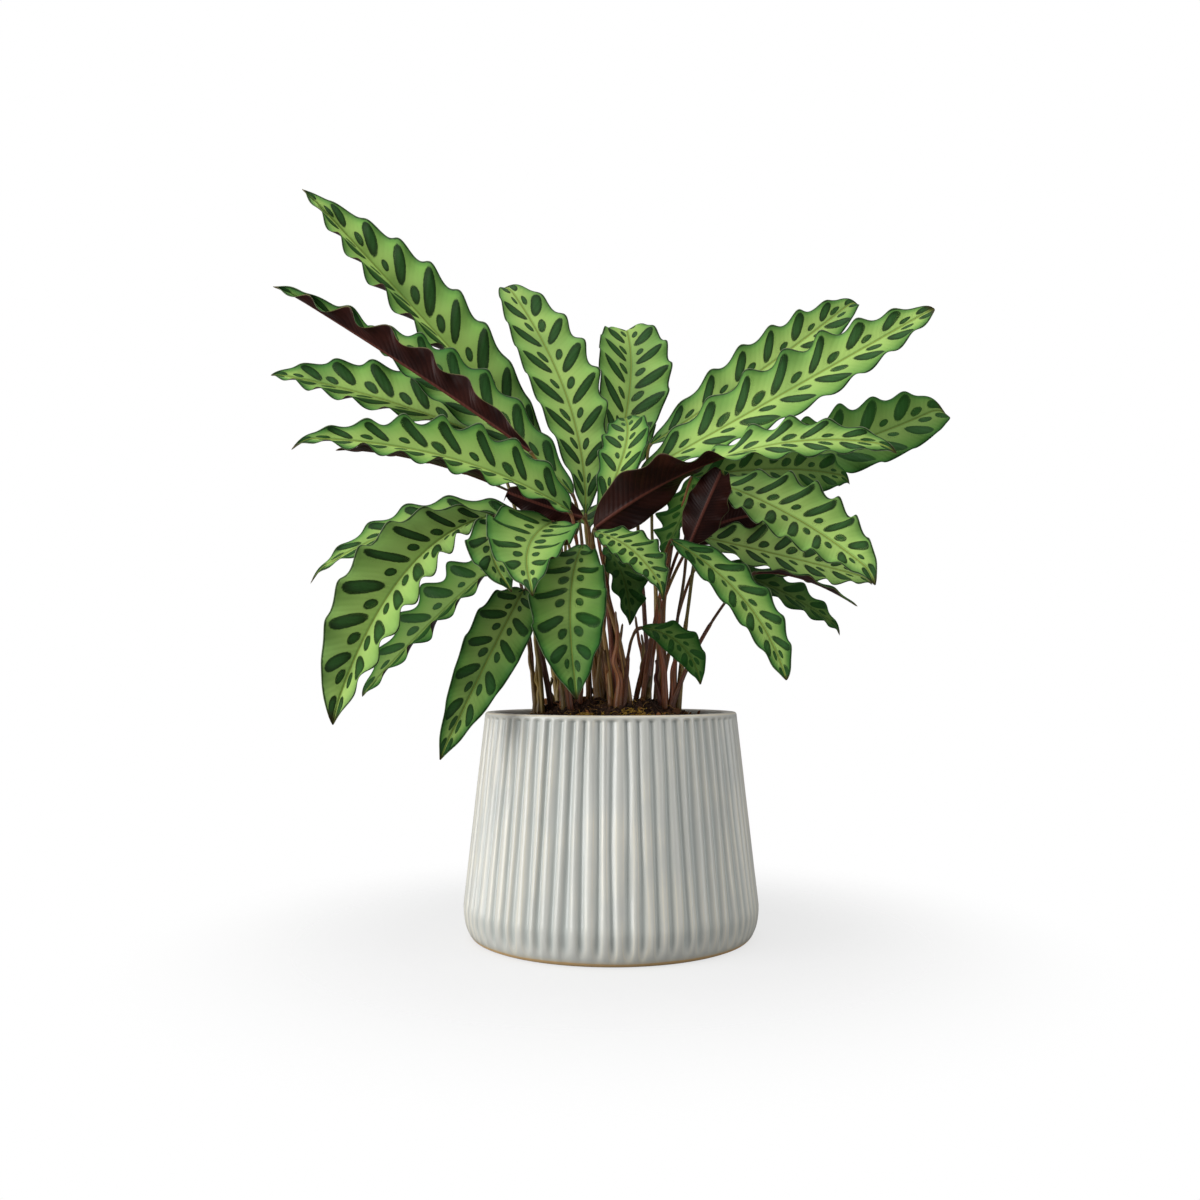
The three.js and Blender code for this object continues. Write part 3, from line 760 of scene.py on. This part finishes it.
# %% [markdown]
# ## The pot
#
# The pot is thrown stoneware under a pale grey glaze, with 66 upright ribs. It could be lathed and then
# cut, but a grid that is rolled up is simpler: its rows follow the profile and its columns go round. A rule
# then sinks the grooves between the ribs. Each rib gets a slightly different width, because they are cut by
# hand.

# %% Pot measures
POT_HEIGHT = 135.0
RIM_RADIUS = 77.7
BELLY_RADIUS = 90.0
BELLY_HEIGHT = 19.0
FOOT_RADIUS = 82.5
FOOT_BEVEL = 0.9
WALL = 6.5
FLOOR_HEIGHT = 9.0
LIP = 1.3
RIBS = 66
RIB_DEPTH = 2.1
RIB_START = (1.0, 14.0)
RIB_END = (131.2, 133.4)
COLUMNS_PER_RIB = 12


def pot_radius(height):
    """The radius over the ribs at a height."""
    if height >= BELLY_HEIGHT:
        share = (height - BELLY_HEIGHT) / (POT_HEIGHT - BELLY_HEIGHT)
        return BELLY_RADIUS + (RIM_RADIUS - BELLY_RADIUS) * share
    drop = (BELLY_HEIGHT - height) / BELLY_HEIGHT
    return FOOT_RADIUS + (BELLY_RADIUS - FOOT_RADIUS) * math.sqrt(1 - drop * drop)


def inner_radius(height):
    share = (height - BELLY_HEIGHT) / (POT_HEIGHT + 1 - BELLY_HEIGHT)
    return BELLY_RADIUS - WALL + (RIM_RADIUS - BELLY_RADIUS) * share


print("outside and inside radius of the rim:", pot_radius(POT_HEIGHT), round(inner_radius(POT_HEIGHT), 1))


# %% Pot profile
def lip_arc(middle, way, degrees):
    """Points on one edge of the lip. The way is 1 outside and -1 inside."""
    return [(middle + way * LIP * math.cos(turn), POT_HEIGHT - LIP + LIP * math.sin(turn))
            for turn in np.radians(degrees)]


def pot_profile():
    """Radius and height of the points from the middle of the foot to the lip, and on to the inner floor."""
    under = [(radius, 0.0) for radius in (0.0, 30.0, 60.0, 76.0, 80.5)]
    foot = [(pot_radius(height) - FOOT_BEVEL + height, height) for height in (0.0, 0.4, FOOT_BEVEL)]
    heights = [*np.linspace(1.5, BELLY_HEIGHT, 13), *np.linspace(23, RIB_END[0] - 2, 18),
               *np.linspace(RIB_END[0] - 1, POT_HEIGHT - LIP, 11)]
    wall = [(pot_radius(height), height) for height in heights]
    outer = lip_arc(pot_radius(POT_HEIGHT) - LIP, 1, (25, 50, 72, 90))
    inner = lip_arc(inner_radius(POT_HEIGHT) + LIP, -1, (90, 65, 35, 0))
    inside = [(inner_radius(height), height) for height in np.linspace(POT_HEIGHT - 5, BELLY_HEIGHT, 9)]
    floor = [(pot_radius(FLOOR_HEIGHT) - WALL, FLOOR_HEIGHT), (40.0, FLOOR_HEIGHT), (0.0, FLOOR_HEIGHT)]
    return [*under, *foot, *wall, *outer], [*inner, *inside, *floor]


OUTSIDE, INSIDE = pot_profile()
print("pot profile points:", len(OUTSIDE) + len(INSIDE))


# %% Rolled grid
# The profile comes in as loose vertices: x is the radius, z the height, and y is 1 where a rule moves it.
def profile_mesh(name, *rows_and_marks):
    places = [(radius * MM, mark, height * MM) for rows, mark in rows_and_marks for radius, height in rows]
    mesh = bpy.data.meshes.new(name)
    mesh.from_pydata(places, [], [])
    return mesh


def rolled_grid(profile, columns):
    """Roll a grid round the vertical axis. Give it with the angle, radius, mark and height of its points."""
    tree = profile.tree
    count = field(tree, "GeometryNodeAttributeDomainSize", {0: profile}, "Point Count", component="MESH")
    grid, along, across = flat_grid(tree, count, columns)
    row = (along * (count - 1.0) + 0.5).floor()
    wanted = {"Geometry": profile, "Value": own_place(tree), "Index": row}
    found = directed(tree, "GeometryNodeSampleIndex", wanted, "Value",
                     data_type="FLOAT_VECTOR", domain="POINT")
    return grid, math.pi / 2 - across * TURN, *(found.part(axis) for axis in "XYZ")


def closed(grid, place):
    """Move the points of a rolled grid to their places, and close its seam and its ends."""
    moved = step(grid, "SetPosition", {"Position": place})
    return step(moved, "MergeByDistance", {"Distance": SAME_PLACE})


# %% Pot tree
def pot_tree():
    _, value = geometry_tree("ribbed_pot", number="Ribs, Rib Depth, Unevenness, Seed", count="Columns",
                             material="Glaze")
    grid, angle, radius, outside, height = rolled_grid(value["Geometry"], value["Columns"])
    ring = vector(angle.cos(), angle.sin(), value["Seed"])
    drift = noise(ring.times(9.0) + vector(0.0, 0.0, height * 6.0), 1.0, 3.0) - 0.5
    phase = (angle * (1 / TURN) * value["Ribs"] + drift * value["Unevenness"]) * TURN
    starts = height.between(RIB_START[0] * MM, RIB_START[1] * MM)
    ribbed = starts * height.between(RIB_END[0] * MM, RIB_END[1] * MM, 1.0, 0.0)
    depth = noise(ring.times(14.0), 1.0, 2.0).between(0.3, 0.7, 0.75, 1.1, smooth=False)
    groove = (0.5 - phase.cos() * 0.5) ** 1.3 * ribbed * outside * depth
    swell = (noise(ring.times(1.3) + vector(0.0, 0.0, height * 25.0), 1.0, 2.0) - 0.6) * outside
    reach = radius - groove * value["Rib Depth"] + swell * radius * 0.006
    grid = kept(kept(grid, "groove", groove), "outside", outside)
    grid = closed(grid, vector(reach * angle.cos(), reach * angle.sin(), height))
    return close_tree(step(grid, "SetShadeSmooth"), value["Glaze"])


POT_RULE = pot_tree()
print("nodes in the pot rule:", len(POT_RULE.nodes))


# %% [markdown]
# The glaze is a pale warm grey. It runs off the edges of the ribs, where it looks creamy, and gathers in
# the grooves, where it looks blue-grey. It stops just above the foot and leaves a line of bare, tan clay.
# The rule kept how deep each point lies in a groove, which places these colours better than a picture
# could.

# %% Glaze
def glaze():
    made, tree, shader = new_material("pale_glaze", 0.34, Coat_Weight=0.28, Coat_Roughness=0.12)
    groove, outside = read(tree, "groove outside")
    place = place_on_object(tree)
    height = place.part("Z")
    clouds, _ = use_group(MOTTLE, Place=place, Scale=24.0)
    _, grain = use_group(MOTTLE, Place=place, Scale=110.0)
    edge = (groove - 0.16).size().between(0.02, 0.13, 0.55, 0.0) * clouds.between(0.4, 0.6)
    border = height + (clouds - 0.5) * 0.0014
    bare = border.between(0.0024, 0.0029, 1.0, 0.0)
    body = layered(
        mix(clouds.between(0.35, 0.7), "#d5d6cf", "#dfded4"),
        (groove.between(0.25, 0.85) * 0.8, "#b9bfbb"),
        (edge * outside, "#efe9d6"),
        # a cream line on the lip: partly the glaze thinning at its edge, partly painted light on the lip's
        # top
        (height.between(0.1338, 0.1345, 0.0, 0.9) * outside.most(0.4), "#f3ead3"),
        (grain.between(0.66, 0.8) * 0.3, "#cbc5b1"),
        (border.between(0.0026, 0.0048, 0.6, 0.0), "#e2d7ba"),
        (bare, "#e6c08a"),
    )
    drive(shader, Base_Color=body, Roughness=bare.between(0.0, 1.0, 0.34, 0.85),
          Coat_Weight=bare.between(0.0, 1.0, 0.28, 0.0))
    bump(shader, clouds * 1.5 + grain * 0.2, 0.0004)
    return made


PALE_GLAZE = glaze()
print("nodes in the glaze:", len(PALE_GLAZE.node_tree.nodes))

# %% Grow the pot
pot_values = {"Ribs": float(RIBS), "Columns": RIBS * COLUMNS_PER_RIB + 1, "Rib Depth": RIB_DEPTH * MM,
              "Unevenness": 0.9, "Seed": 4.0, "Glaze": PALE_GLAZE}
pot = grow("ribbed_pot", POT_RULE, pot_values, profile_mesh("pot_profile", (OUTSIDE, 1.0), (INSIDE, 0.0)))
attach(pot, "root")
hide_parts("pot")
print("pot faces:", len(pot.data.polygons))

# %% [markdown]
# ## The soil
#
# Dark potting soil is heaped in the middle, and its edge stays below the lip. It could be sculpted too, but
# its body is a rolled grid as well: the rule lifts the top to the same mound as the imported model's and adds
# finer lumps.

# %% Soil measures
SOIL_EDGE = 124.0
SOIL_MOUND = 16.0
MOUND_TOP = 0.35
CRUMB_HEIGHT = 1.4
CRUMB_LENGTHS = (20.0, 23.0)
SWELL_LENGTHS = (48.0, 33.0)
SOIL_REACH = RIM_RADIUS - WALL
SOIL_GAP = 0.2


def soil_height(x, y):
    """The height of the soil's top, in millimetres."""
    share = min(1.0, math.hypot(x, y) / SOIL_REACH)
    part = min(1.0, max(0.0, (share - MOUND_TOP) / (1 - MOUND_TOP)))
    mound = SOIL_MOUND * (1 - part * part * (3 - 2 * part))
    crumb = math.sin(TURN * x / CRUMB_LENGTHS[0] + 1) * math.cos(TURN * y / CRUMB_LENGTHS[1])
    swell = math.sin(TURN * x / SWELL_LENGTHS[0] - TURN * y / SWELL_LENGTHS[1])
    return SOIL_EDGE + mound + CRUMB_HEIGHT * (crumb + swell) * (1 - share ** 4)


print("soil in the middle is", round(soil_height(0, 0), 1), "mm high")


# %% Soil tree
def soil_tree():
    _, value = geometry_tree("soil_body", count="Columns", number="Reach, Mound, Lumps", material="Soil")
    grid, angle, radius, top, height = rolled_grid(value["Geometry"], value["Columns"])
    x = radius * angle.cos()
    y = radius * angle.sin()
    share = radius / value["Reach"]
    mound = share.between(MOUND_TOP, 1.0, 1.0, 0.0) * value["Mound"]
    crumb = (x * (TURN / CRUMB_LENGTHS[0] / MM) + 1.0).sin() * (y * (TURN / CRUMB_LENGTHS[1] / MM)).cos()
    swell = (x * (TURN / SWELL_LENGTHS[0] / MM) - y * (TURN / SWELL_LENGTHS[1] / MM)).sin()
    calm = 1.0 - share ** 4.0
    fine = noise(vector(x, y, 0.0), 160.0, 6.0, 0.7) - 0.5
    raised = mound + (crumb + swell) * calm * (CRUMB_HEIGHT * MM) + fine * value["Lumps"] * calm
    return close_tree(closed(kept(grid, "top", top), vector(x, y, height + raised * top)), value["Soil"])


SOIL_RULE = soil_tree()
print("nodes in the soil rule:", len(SOIL_RULE.nodes))


# %% Soil material
def soil_material():
    made, tree, shader = new_material("dark_soil", 0.95, Specular_IOR_Level=0.2)
    place = place_on_object(tree)
    clouds, _ = use_group(MOTTLE, Place=place, Scale=90.0)
    _, grain = use_group(MOTTLE, Place=place, Scale=220.0)
    dark = mix(clouds.between(0.3, 0.7), "#140c08", "#3a2417")
    drive(shader, Base_Color=mix(grain.between(0.6, 0.75) * 0.5, dark, "#6b4a2c"))
    bump(shader, grain + clouds, 0.0015)
    return made


DARK_SOIL = soil_material()
print("nodes in the soil:", len(DARK_SOIL.node_tree.nodes))


# %% Grow the soil
low_rows = [(radius, FLOOR_HEIGHT + SOIL_GAP) for radius in (0.0, 70.0)]
low_rows += [(inner_radius(height) - SOIL_GAP, height)
             for height in np.linspace(BELLY_HEIGHT, SOIL_EDGE - 1, 6)]
top_rows = [(radius, SOIL_EDGE) for radius in np.linspace(SOIL_REACH - 0.1, 0.0, 96)]
soil_values = {"Columns": 301, "Reach": SOIL_REACH * MM, "Mound": SOIL_MOUND * MM, "Lumps": 0.004,
               "Soil": DARK_SOIL}
soil_profile = profile_mesh("soil_profile", (low_rows, 0.0), (top_rows, 1.0))
soil = grow("soil_body", SOIL_RULE, soil_values, soil_profile)
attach(soil, "root")
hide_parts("soil")
print("soil faces:", len(soil.data.polygons))

# %% [markdown]
# ## Bits on the soil
#
# Crumbs, chips of bark and fibres lie on the soil, and two tufts of golden moss grow at the front. Placing
# them one by one would take long and look arranged. So each kind is one small shape, set on points that are
# drawn with a fixed seed, turned and sized at random, made real, and then shaken by noise so that no two
# are alike.

# %% Scatter helpers
TURN_SEED = 11
SIZE_SEED = 12
TONE_SEED = 13


def points_on_top(ground, density, seed, centre=None, spread=None):
    """Points on the soil's top, or on the part of it that is near a centre."""
    share = named(ground.tree, "top").over(0.5)
    if centre:
        away = (own_place(ground.tree) - centre).length() / spread
        share = share * (away * away * -1.0).exp()
    inputs = {"Density": density * share, "Seed": seed}
    return step(ground, "DistributePointsOnFaces", inputs, distribute_method="RANDOM")


def random_between(tree, low, high, seed, kind="FLOAT"):
    """A random number for each point, or a random vector."""
    first = 0 if kind == "FLOAT_VECTOR" else 2
    inputs = {"Seed": seed, first: low, first + 1: high}
    return field(tree, "FunctionNodeRandomValue", inputs, first // 2, data_type=kind)


def copies_on(points, shape, turned, sized):
    """A copy of a shape on each point, with a random tone."""
    copies = step(points, "InstanceOnPoints", {"Instance": shape, "Rotation": turned, "Scale": sized})
    tone = random_between(points.tree, 0.0, 1.0, TONE_SEED)
    return step(kept(copies, "tone", tone, "INSTANCE"), "RealizeInstances")


def shaken(geometry, scale, middle, amount):
    """Move the points by noise. Those where the noise has its middle value stay."""
    inputs = {"Vector": own_place(geometry.tree), "Scale": scale, "Detail": 1.0}
    waves = directed(geometry.tree, "ShaderNodeTexNoise", inputs, "Color")
    return step(geometry, "SetPosition", {"Offset": (waves - middle).times(amount)})


print("seeds for turns, sizes and tones:", TURN_SEED, SIZE_SEED, TONE_SEED)


# %% Crumb and fibre trees
# A crumb starts as a ball of 20 faces, and a fibre as a bowed line, which gets its thickness last.
def crumb_tree():
    tree, value = geometry_tree("crumbs", number="Density, Roughness", place="Smallest, Largest",
                                count="Seed", material="Skin")
    points = points_on_top(value["Geometry"], value["Density"], value["Seed"])
    ball = field(tree, "GeometryNodeMeshIcoSphere", {"Radius": 1.0, "Subdivisions": 1})
    turned = random_between(tree, (0.0, 0.0, 0.0), (math.pi, math.pi, TURN), TURN_SEED, "FLOAT_VECTOR")
    sized = random_between(tree, value["Smallest"], value["Largest"], SIZE_SEED, "FLOAT_VECTOR")
    whole = shaken(copies_on(points, ball, turned, sized), 700.0, (0.5, 0.5, 0.5), value["Roughness"])
    return close_tree(whole, value["Skin"])


def fibre_tree():
    tree, value = geometry_tree("fibres", number="Density, Spread, Shortest, Longest, Thickness, Curl",
                                place="Centre", count="Seed", material="Skin")
    points = points_on_top(value["Geometry"], value["Density"], value["Seed"],
                           value["Centre"], value["Spread"])
    bow = {"Resolution": 7, "Start": (-0.5, 0.0, 0.0), "Middle": (0.0, 0.3, 0.1), "End": (0.5, 0.0, 0.0)}
    line = field(tree, "GeometryNodeCurveQuadraticBezier", bow)
    turned = random_between(tree, (-0.6, -0.6, 0.0), (0.6, 0.6, TURN), TURN_SEED, "FLOAT_VECTOR")
    sized = random_between(tree, value["Shortest"], value["Longest"], SIZE_SEED)
    lines = shaken(copies_on(points, line, turned, sized), 300.0, (0.5, 0.5, 0.42), value["Curl"])
    ring = field(tree, "GeometryNodeCurvePrimitiveCircle", {"Resolution": 3, "Radius": value["Thickness"]})
    whole = step(lines, "CurveToMesh", {"Profile Curve": ring, "Fill Caps": True})
    return close_tree(whole, value["Skin"])


CRUMB_RULE = crumb_tree()
FIBRE_RULE = fibre_tree()
print("nodes in the crumb and fibre rules:", len(CRUMB_RULE.nodes), len(FIBRE_RULE.nodes))


# %% Bits and their colours
def toned_material(name, first, last):
    """A material that goes from one colour to another, piece by piece."""
    made, tree, shader = new_material(name, 0.9, Specular_IOR_Level=0.25)
    tone, = read(tree, "tone")
    _, grain = use_group(MOTTLE, Place=place_on_object(tree), Scale=150.0)
    drive(shader, Base_Color=mix((tone + grain * 0.5) * 0.75, first, last))
    return made


def add_bits(name, tree, values):
    made = grow(name, tree, values, soil.data.copy())
    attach(made, "root")
    print(name, "faces:", len(made.data.polygons))


add_bits("soil_crumbs", CRUMB_RULE, {
    "Density": 130000.0, "Smallest": (0.0005, 0.0005, 0.0004), "Largest": (0.0026, 0.0022, 0.0018),
    "Roughness": 0.001, "Seed": 3, "Skin": toned_material("crumb_brown", "#120b07", "#4a3020")})
add_bits("bark_chips", CRUMB_RULE, {
    "Density": 9000.0, "Smallest": (0.0022, 0.001, 0.0003), "Largest": (0.007, 0.0028, 0.0011),
    "Roughness": 0.0016, "Seed": 8, "Skin": toned_material("bark_brown", "#2b1910", "#8a5a34")})
add_bits("soil_fibres", FIBRE_RULE, {
    "Density": 16000.0, "Centre": (0.0, 0.0, 0.135), "Spread": 0.3, "Shortest": 0.004, "Longest": 0.014,
    "Thickness": 0.00016, "Curl": 0.006, "Seed": 5,
    "Skin": toned_material("fibre_tan", "#4a2f1a", "#b58a4a")})
GOLDEN_MOSS = toned_material("golden_moss", "#7a5a1c", "#d0a648")
for side, centre in {"left": (-0.017, -0.047, 0.13), "right": (0.019, -0.045, 0.13)}.items():
    add_bits("moss_tuft_" + side, FIBRE_RULE, {
        "Density": 900000.0, "Centre": centre, "Spread": 0.008, "Shortest": 0.003, "Longest": 0.009,
        "Thickness": 0.00013, "Curl": 0.009, "Seed": 6, "Skin": GOLDEN_MOSS})

# %% [markdown]
# ## The stalks
#
# Each blade hangs on a slim stalk. At its foot the stalk is wrapped in a thicker sheath with a seam, and
# just below the blade it swells into a short, smooth joint. A bevelled curve can't have a seam, so the rule
# rolls a grid round a curve of its own. That curve leaves the soil nearly upright and ends in the direction
# of the blade's midrib, so that stalk and midrib run into each other.

# %% Stalk measures
SHOOTS = {
    "left": (-42, -6),
    "left_back": (-29, 19),
    "left_front": (-24, -26),
    "centre": (-9, 0),
    "back": (-3, 32),
    "front": (6, -28),
    "right": (19, 6),
    "right_front": (35, -13),
    "right_back": (28, 31),
}
STALK_SIDES = 10
STALK_ROWS = 44
SUNK = 4.0
JOINT_LENGTH = 12.0
NECK_LENGTH = 14.0
UPRIGHT_SHARE = 0.45
LEAN = 0.2
STALK_SPREAD = 5.5
SPOT_TURN = 2.4
EMPTY_SHEATHS = 3
SHEATH_LEAN = 0.12
print("shoots:", ", ".join(SHOOTS))


# %% Stalk tree
def stalk_curve(value, t):
    """The place on the curve, and the directions beside it and up from it."""
    start, lift, bend, end = (value[name] for name in ("Start", "Lift", "Bend", "End"))
    rest = 1.0 - t
    place = weighed([start, lift, bend], [rest ** 3.0, rest * rest * t * 3.0, rest * t * t * 3.0])
    place = place + end.times(t ** 3.0)
    slope = weighed([lift - start, bend - lift, end - bend], [rest * rest, rest * t * 2.0, t * t])
    tangent = slope.unit()
    side = level_side(end - start, tangent)
    return place, side, side.cross(tangent)


def stalk_tree():
    tree, value = geometry_tree(
        "stalk", place="Start, Lift, Bend, End", material="Skin",
        number="Foot Radius, Stalk Radius, Neck Radius, Sheath Share, Neck Share, Seed")
    whole, t, across = flat_grid(tree, STALK_ROWS, STALK_SIDES + 1)
    place, side, up = stalk_curve(value, t)
    angle = across * TURN
    sheath_share = t / value["Sheath Share"]
    sheath = sheath_share.between(0.97, 1.01, 1.0, 0.0)
    swell = (value["Foot Radius"] - value["Stalk Radius"]) * (1.0 - sheath_share).most(0.0)
    seat = vector(t * 6.0, angle.cos() * 0.4, value["Seed"])
    uneven = noise(seat, 1.0, 2.0).between(0.2, 0.8, 0.86, 1.14, smooth=False)
    seam = 1.0 - (angle.cos() * 6.0 - 6.0).exp() * sheath * 0.22
    neck = t.between(value["Neck Share"], value["Neck Share"] * 0.4 + 0.6)
    joint = (value["Neck Radius"] - value["Stalk Radius"]) * neck
    ends = (1.0 - (t * 2.0 - 1.0).size() ** 90.0).most(0.0).root()
    radius = (value["Stalk Radius"] + swell + sheath * 0.0003 + joint) * uneven * seam * ends
    drift = (noise(vector(t * 2.5, value["Seed"], 0.0), 1.0, 1.0) - 0.5) * (t * math.pi).sin() * 0.012
    marks = {"along": t, "round": across, "sheath": sheath, "neck": neck, "tone": value["Seed"]}
    for name, mark in marks.items():
        whole = kept(whole, name, mark)
    whole = closed(whole, place + side.times(angle.cos() * radius + drift) + up.times(angle.sin() * radius))
    return close_tree(step(whole, "SetShadeSmooth"), value["Skin"])


# %% [markdown]
# The skin is red-brown or olive, one stalk unlike the next, with dark streaks along it. The sheath is
# lighter, the joint is duller, and all stalks are darkest near the soil. The rule kept a number of its own
# for each stalk, so that one material serves them all.

# %% Stalk skin
def stalk_skin():
    made, tree, shader = new_material("stalk_skin", 0.38, Specular_IOR_Level=0.35)
    along, around, sheath, neck, tone = read(tree, "along round sheath neck tone")
    height = place_on_object(tree).part("Z")
    streaks = noise(vector(around * 14.0, along * 3.0, tone), 1.0, 3.0, 0.6)
    patches = noise(vector(along * 5.0, tone, 0.0), 1.0, 2.0)
    first = chance(tone, 0.3, 0.0)
    second = chance(tone, 7.7, 0.0)
    wrap = mix(first.between(0.3, 0.7), "#8f4f2c", "#a08442")
    skin = layered(
        mix(first.between(0.35, 0.65), "#95502f", "#8c8038"),
        (second.between(0.75, 0.9) * 0.8, "#4c1f22"),
        (patches.between(0.5, 0.7) * 0.5, "#8d8740"),
        (sheath * 0.75, mix(second.between(0.65, 0.9) * 0.8, wrap, "#6e3540")),
        (neck * 0.8, mix(second, "#6b6a33", "#5c2c2a")),
        (streaks.between(0.38, 0.66) * 0.7, "#1e0d08"),
        (height.between(0.128, 0.155, 0.65, 0.0), "#2c1a10"),
    )
    drive(shader, Base_Color=skin)
    bump(shader, streaks, 0.0004)
    return made


STALK_SKIN = stalk_skin()
STALK_RULE = stalk_tree()
print("nodes in the stalk's skin and rule:", len(STALK_SKIN.node_tree.nodes), len(STALK_RULE.nodes))


# %% Stalk paths
def stalk_path(shoot, spot, leaf):
    """Start, lift, bend and end of the curve from a shoot's foot to a blade, in millimetres."""
    base, middle, tip = Vector(leaf.base), Vector(leaf.middle), Vector(leaf.tip)
    forward = (base * -3 + middle * 4 - tip).normalized()
    end = base + forward * 1.5
    x, y = SHOOTS[shoot]
    turn = spot * SPOT_TURN
    x += STALK_SPREAD * math.cos(turn)
    y += STALK_SPREAD * math.sin(turn)
    start = Vector((x, y, soil_height(x, y) - SUNK))
    lift = start.lerp(end, LEAN)
    lift.z = start.z + UPRIGHT_SHARE * (end.z - start.z)
    return start, lift, end - forward * JOINT_LENGTH, end


def sheath_path(shoot):
    """The curve of a short empty sheath, which leans away from its shoot."""
    x, y = SHOOTS[shoot]
    turn = rng.uniform(0, TURN)
    reach = rng.uniform(3, 7)
    foot = Vector((x + reach * math.cos(turn), y + reach * math.sin(turn), 0))
    foot.z = soil_height(foot.x, foot.y) - SUNK
    rise = rng.uniform(18, 72)
    top = foot + Vector((math.cos(turn) * rise * SHEATH_LEAN, math.sin(turn) * rise * SHEATH_LEAN, rise))
    return foot, foot + Vector((0, 0, rise * 0.4)), foot.lerp(top, 0.7), top


rng = random.Random(12)
first_path = stalk_path(LEAVES[0].shoot, 0, LEAVES[0])
print("the first stalk starts", round(first_path[0].z), "mm up and ends", round(first_path[3].z), "mm up")


# %% Grow the stalks
def grow_stalk(name, path, foot, thin, neck, sheath, seed):
    values = dict(zip(("Start", "Lift", "Bend", "End"), map(in_metres, path)))
    values |= {"Foot Radius": foot * MM, "Stalk Radius": thin * MM, "Neck Radius": neck * MM,
               "Sheath Share": sheath, "Neck Share": 1 - NECK_LENGTH / (path[3] - path[0]).length,
               "Seed": seed, "Skin": STALK_SKIN}
    return grow(name, STALK_RULE, values)


def fused(name, parts):
    """Join several meshes in one object."""
    with bpy.context.temp_override(active_object=parts[0], selected_editable_objects=parts):
        bpy.ops.object.join()
    parts[0].name = name
    return parts[0]


for shoot in SHOOTS:
    parts = []
    own = [leaf for leaf in LEAVES if leaf.shoot == shoot]
    for spot, leaf in enumerate(own):
        thin = 0.85 + leaf.width / 200
        parts.append(grow_stalk(f"stalk_{shoot}_{spot}", stalk_path(shoot, spot, leaf), rng.uniform(1.2, 1.9),
                                thin, thin + 0.25, rng.uniform(0.3, 0.5), rng.uniform(0, 50)))
    for spot in range(EMPTY_SHEATHS):
        parts.append(grow_stalk(f"scale_{shoot}_{spot}", sheath_path(shoot), rng.uniform(1.8, 2.8), 0.4, 0.4,
                                1.0, rng.uniform(0, 50)))
    whole = fused("stalks_" + shoot, parts)
    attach(whole, "root")
    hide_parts("shoot_" + shoot)
print("shoots grown:", len(SHOOTS), "with", len(whole.data.polygons), "faces in the last one")

# %% [markdown]
# ## The room
#
# The plant stands on a plain pale floor that fades into a white surround, so that no horizon shows. A wide
# lamp hangs over it and gives the soft shadow at the foot. A second one, low on the left, models the ribs
# of the pot, and a weak third one on the right keeps the dark side readable. The surround looks white to
# the camera but gives only a little light, because leaves that are lit evenly from all round look flat.

# %% Floor
FLOOR_CLEAR = (0.11, 0.3)

floor_material, floor_tree, floor_shader = new_material(
    "pale_floor", 0.9, Base_Color=colour("#707070"), Emission_Strength=0.72)
seen = field(floor_tree, "ShaderNodeLightPath", output="Is Camera Ray")
away = (place_on_object(floor_tree) * (1.0, 1.0, 0.0)).length()
drive(floor_shader, Emission_Color=vector(seen, seen, seen), Alpha=away.between(*FLOOR_CLEAR, 1.0, 0.0))
bpy.ops.mesh.primitive_circle_add(vertices=96, radius=1.0, fill_type="NGON")
floor = bpy.context.object
floor.name = "floor"
floor.data.materials.append(floor_material)
print("the floor fades between", *FLOOR_CLEAR, "m from the middle")

# %% Surround
SURROUND_LIGHT = 0.22

world = bpy.data.worlds.new("surround")
bpy.context.scene.world = world
world.use_nodes = True
background = world.node_tree.nodes["Background"]
background.inputs["Color"].default_value = (1.0, 1.0, 1.0, 1.0)
seen = field(world.node_tree, "ShaderNodeLightPath", output="Is Camera Ray")
drive(background, Strength=seen * (1.0 - SURROUND_LIGHT) + SURROUND_LIGHT)
print("light from the surround:", SURROUND_LIGHT)


# %% Lamps
def soft_lamp(name, place, target, size, power):
    lamp = bpy.data.lights.new(name, "AREA")
    lamp.size = size
    lamp.energy = power
    made = bpy.data.objects.new(name, lamp)
    made.location = place
    made.rotation_euler = (Vector(target) - Vector(place)).to_track_quat("-Z", "Y").to_euler()
    bpy.context.scene.collection.objects.link(made)


soft_lamp("overhead", (-0.25, -0.3, 1.7), (0, 0, 0.2), 2.2, 27.0)
soft_lamp("left_side", (-1.6, -0.85, 0.4), (0, 0, 0.15), 1.1, 24.0)
soft_lamp("right_side", (1.5, -0.7, 0.35), (0, 0, 0.1), 0.8, 6.0)
bpy.context.scene.view_settings.view_transform = "Standard"
print("lamps:", ", ".join(lamp.name for lamp in bpy.data.lights))
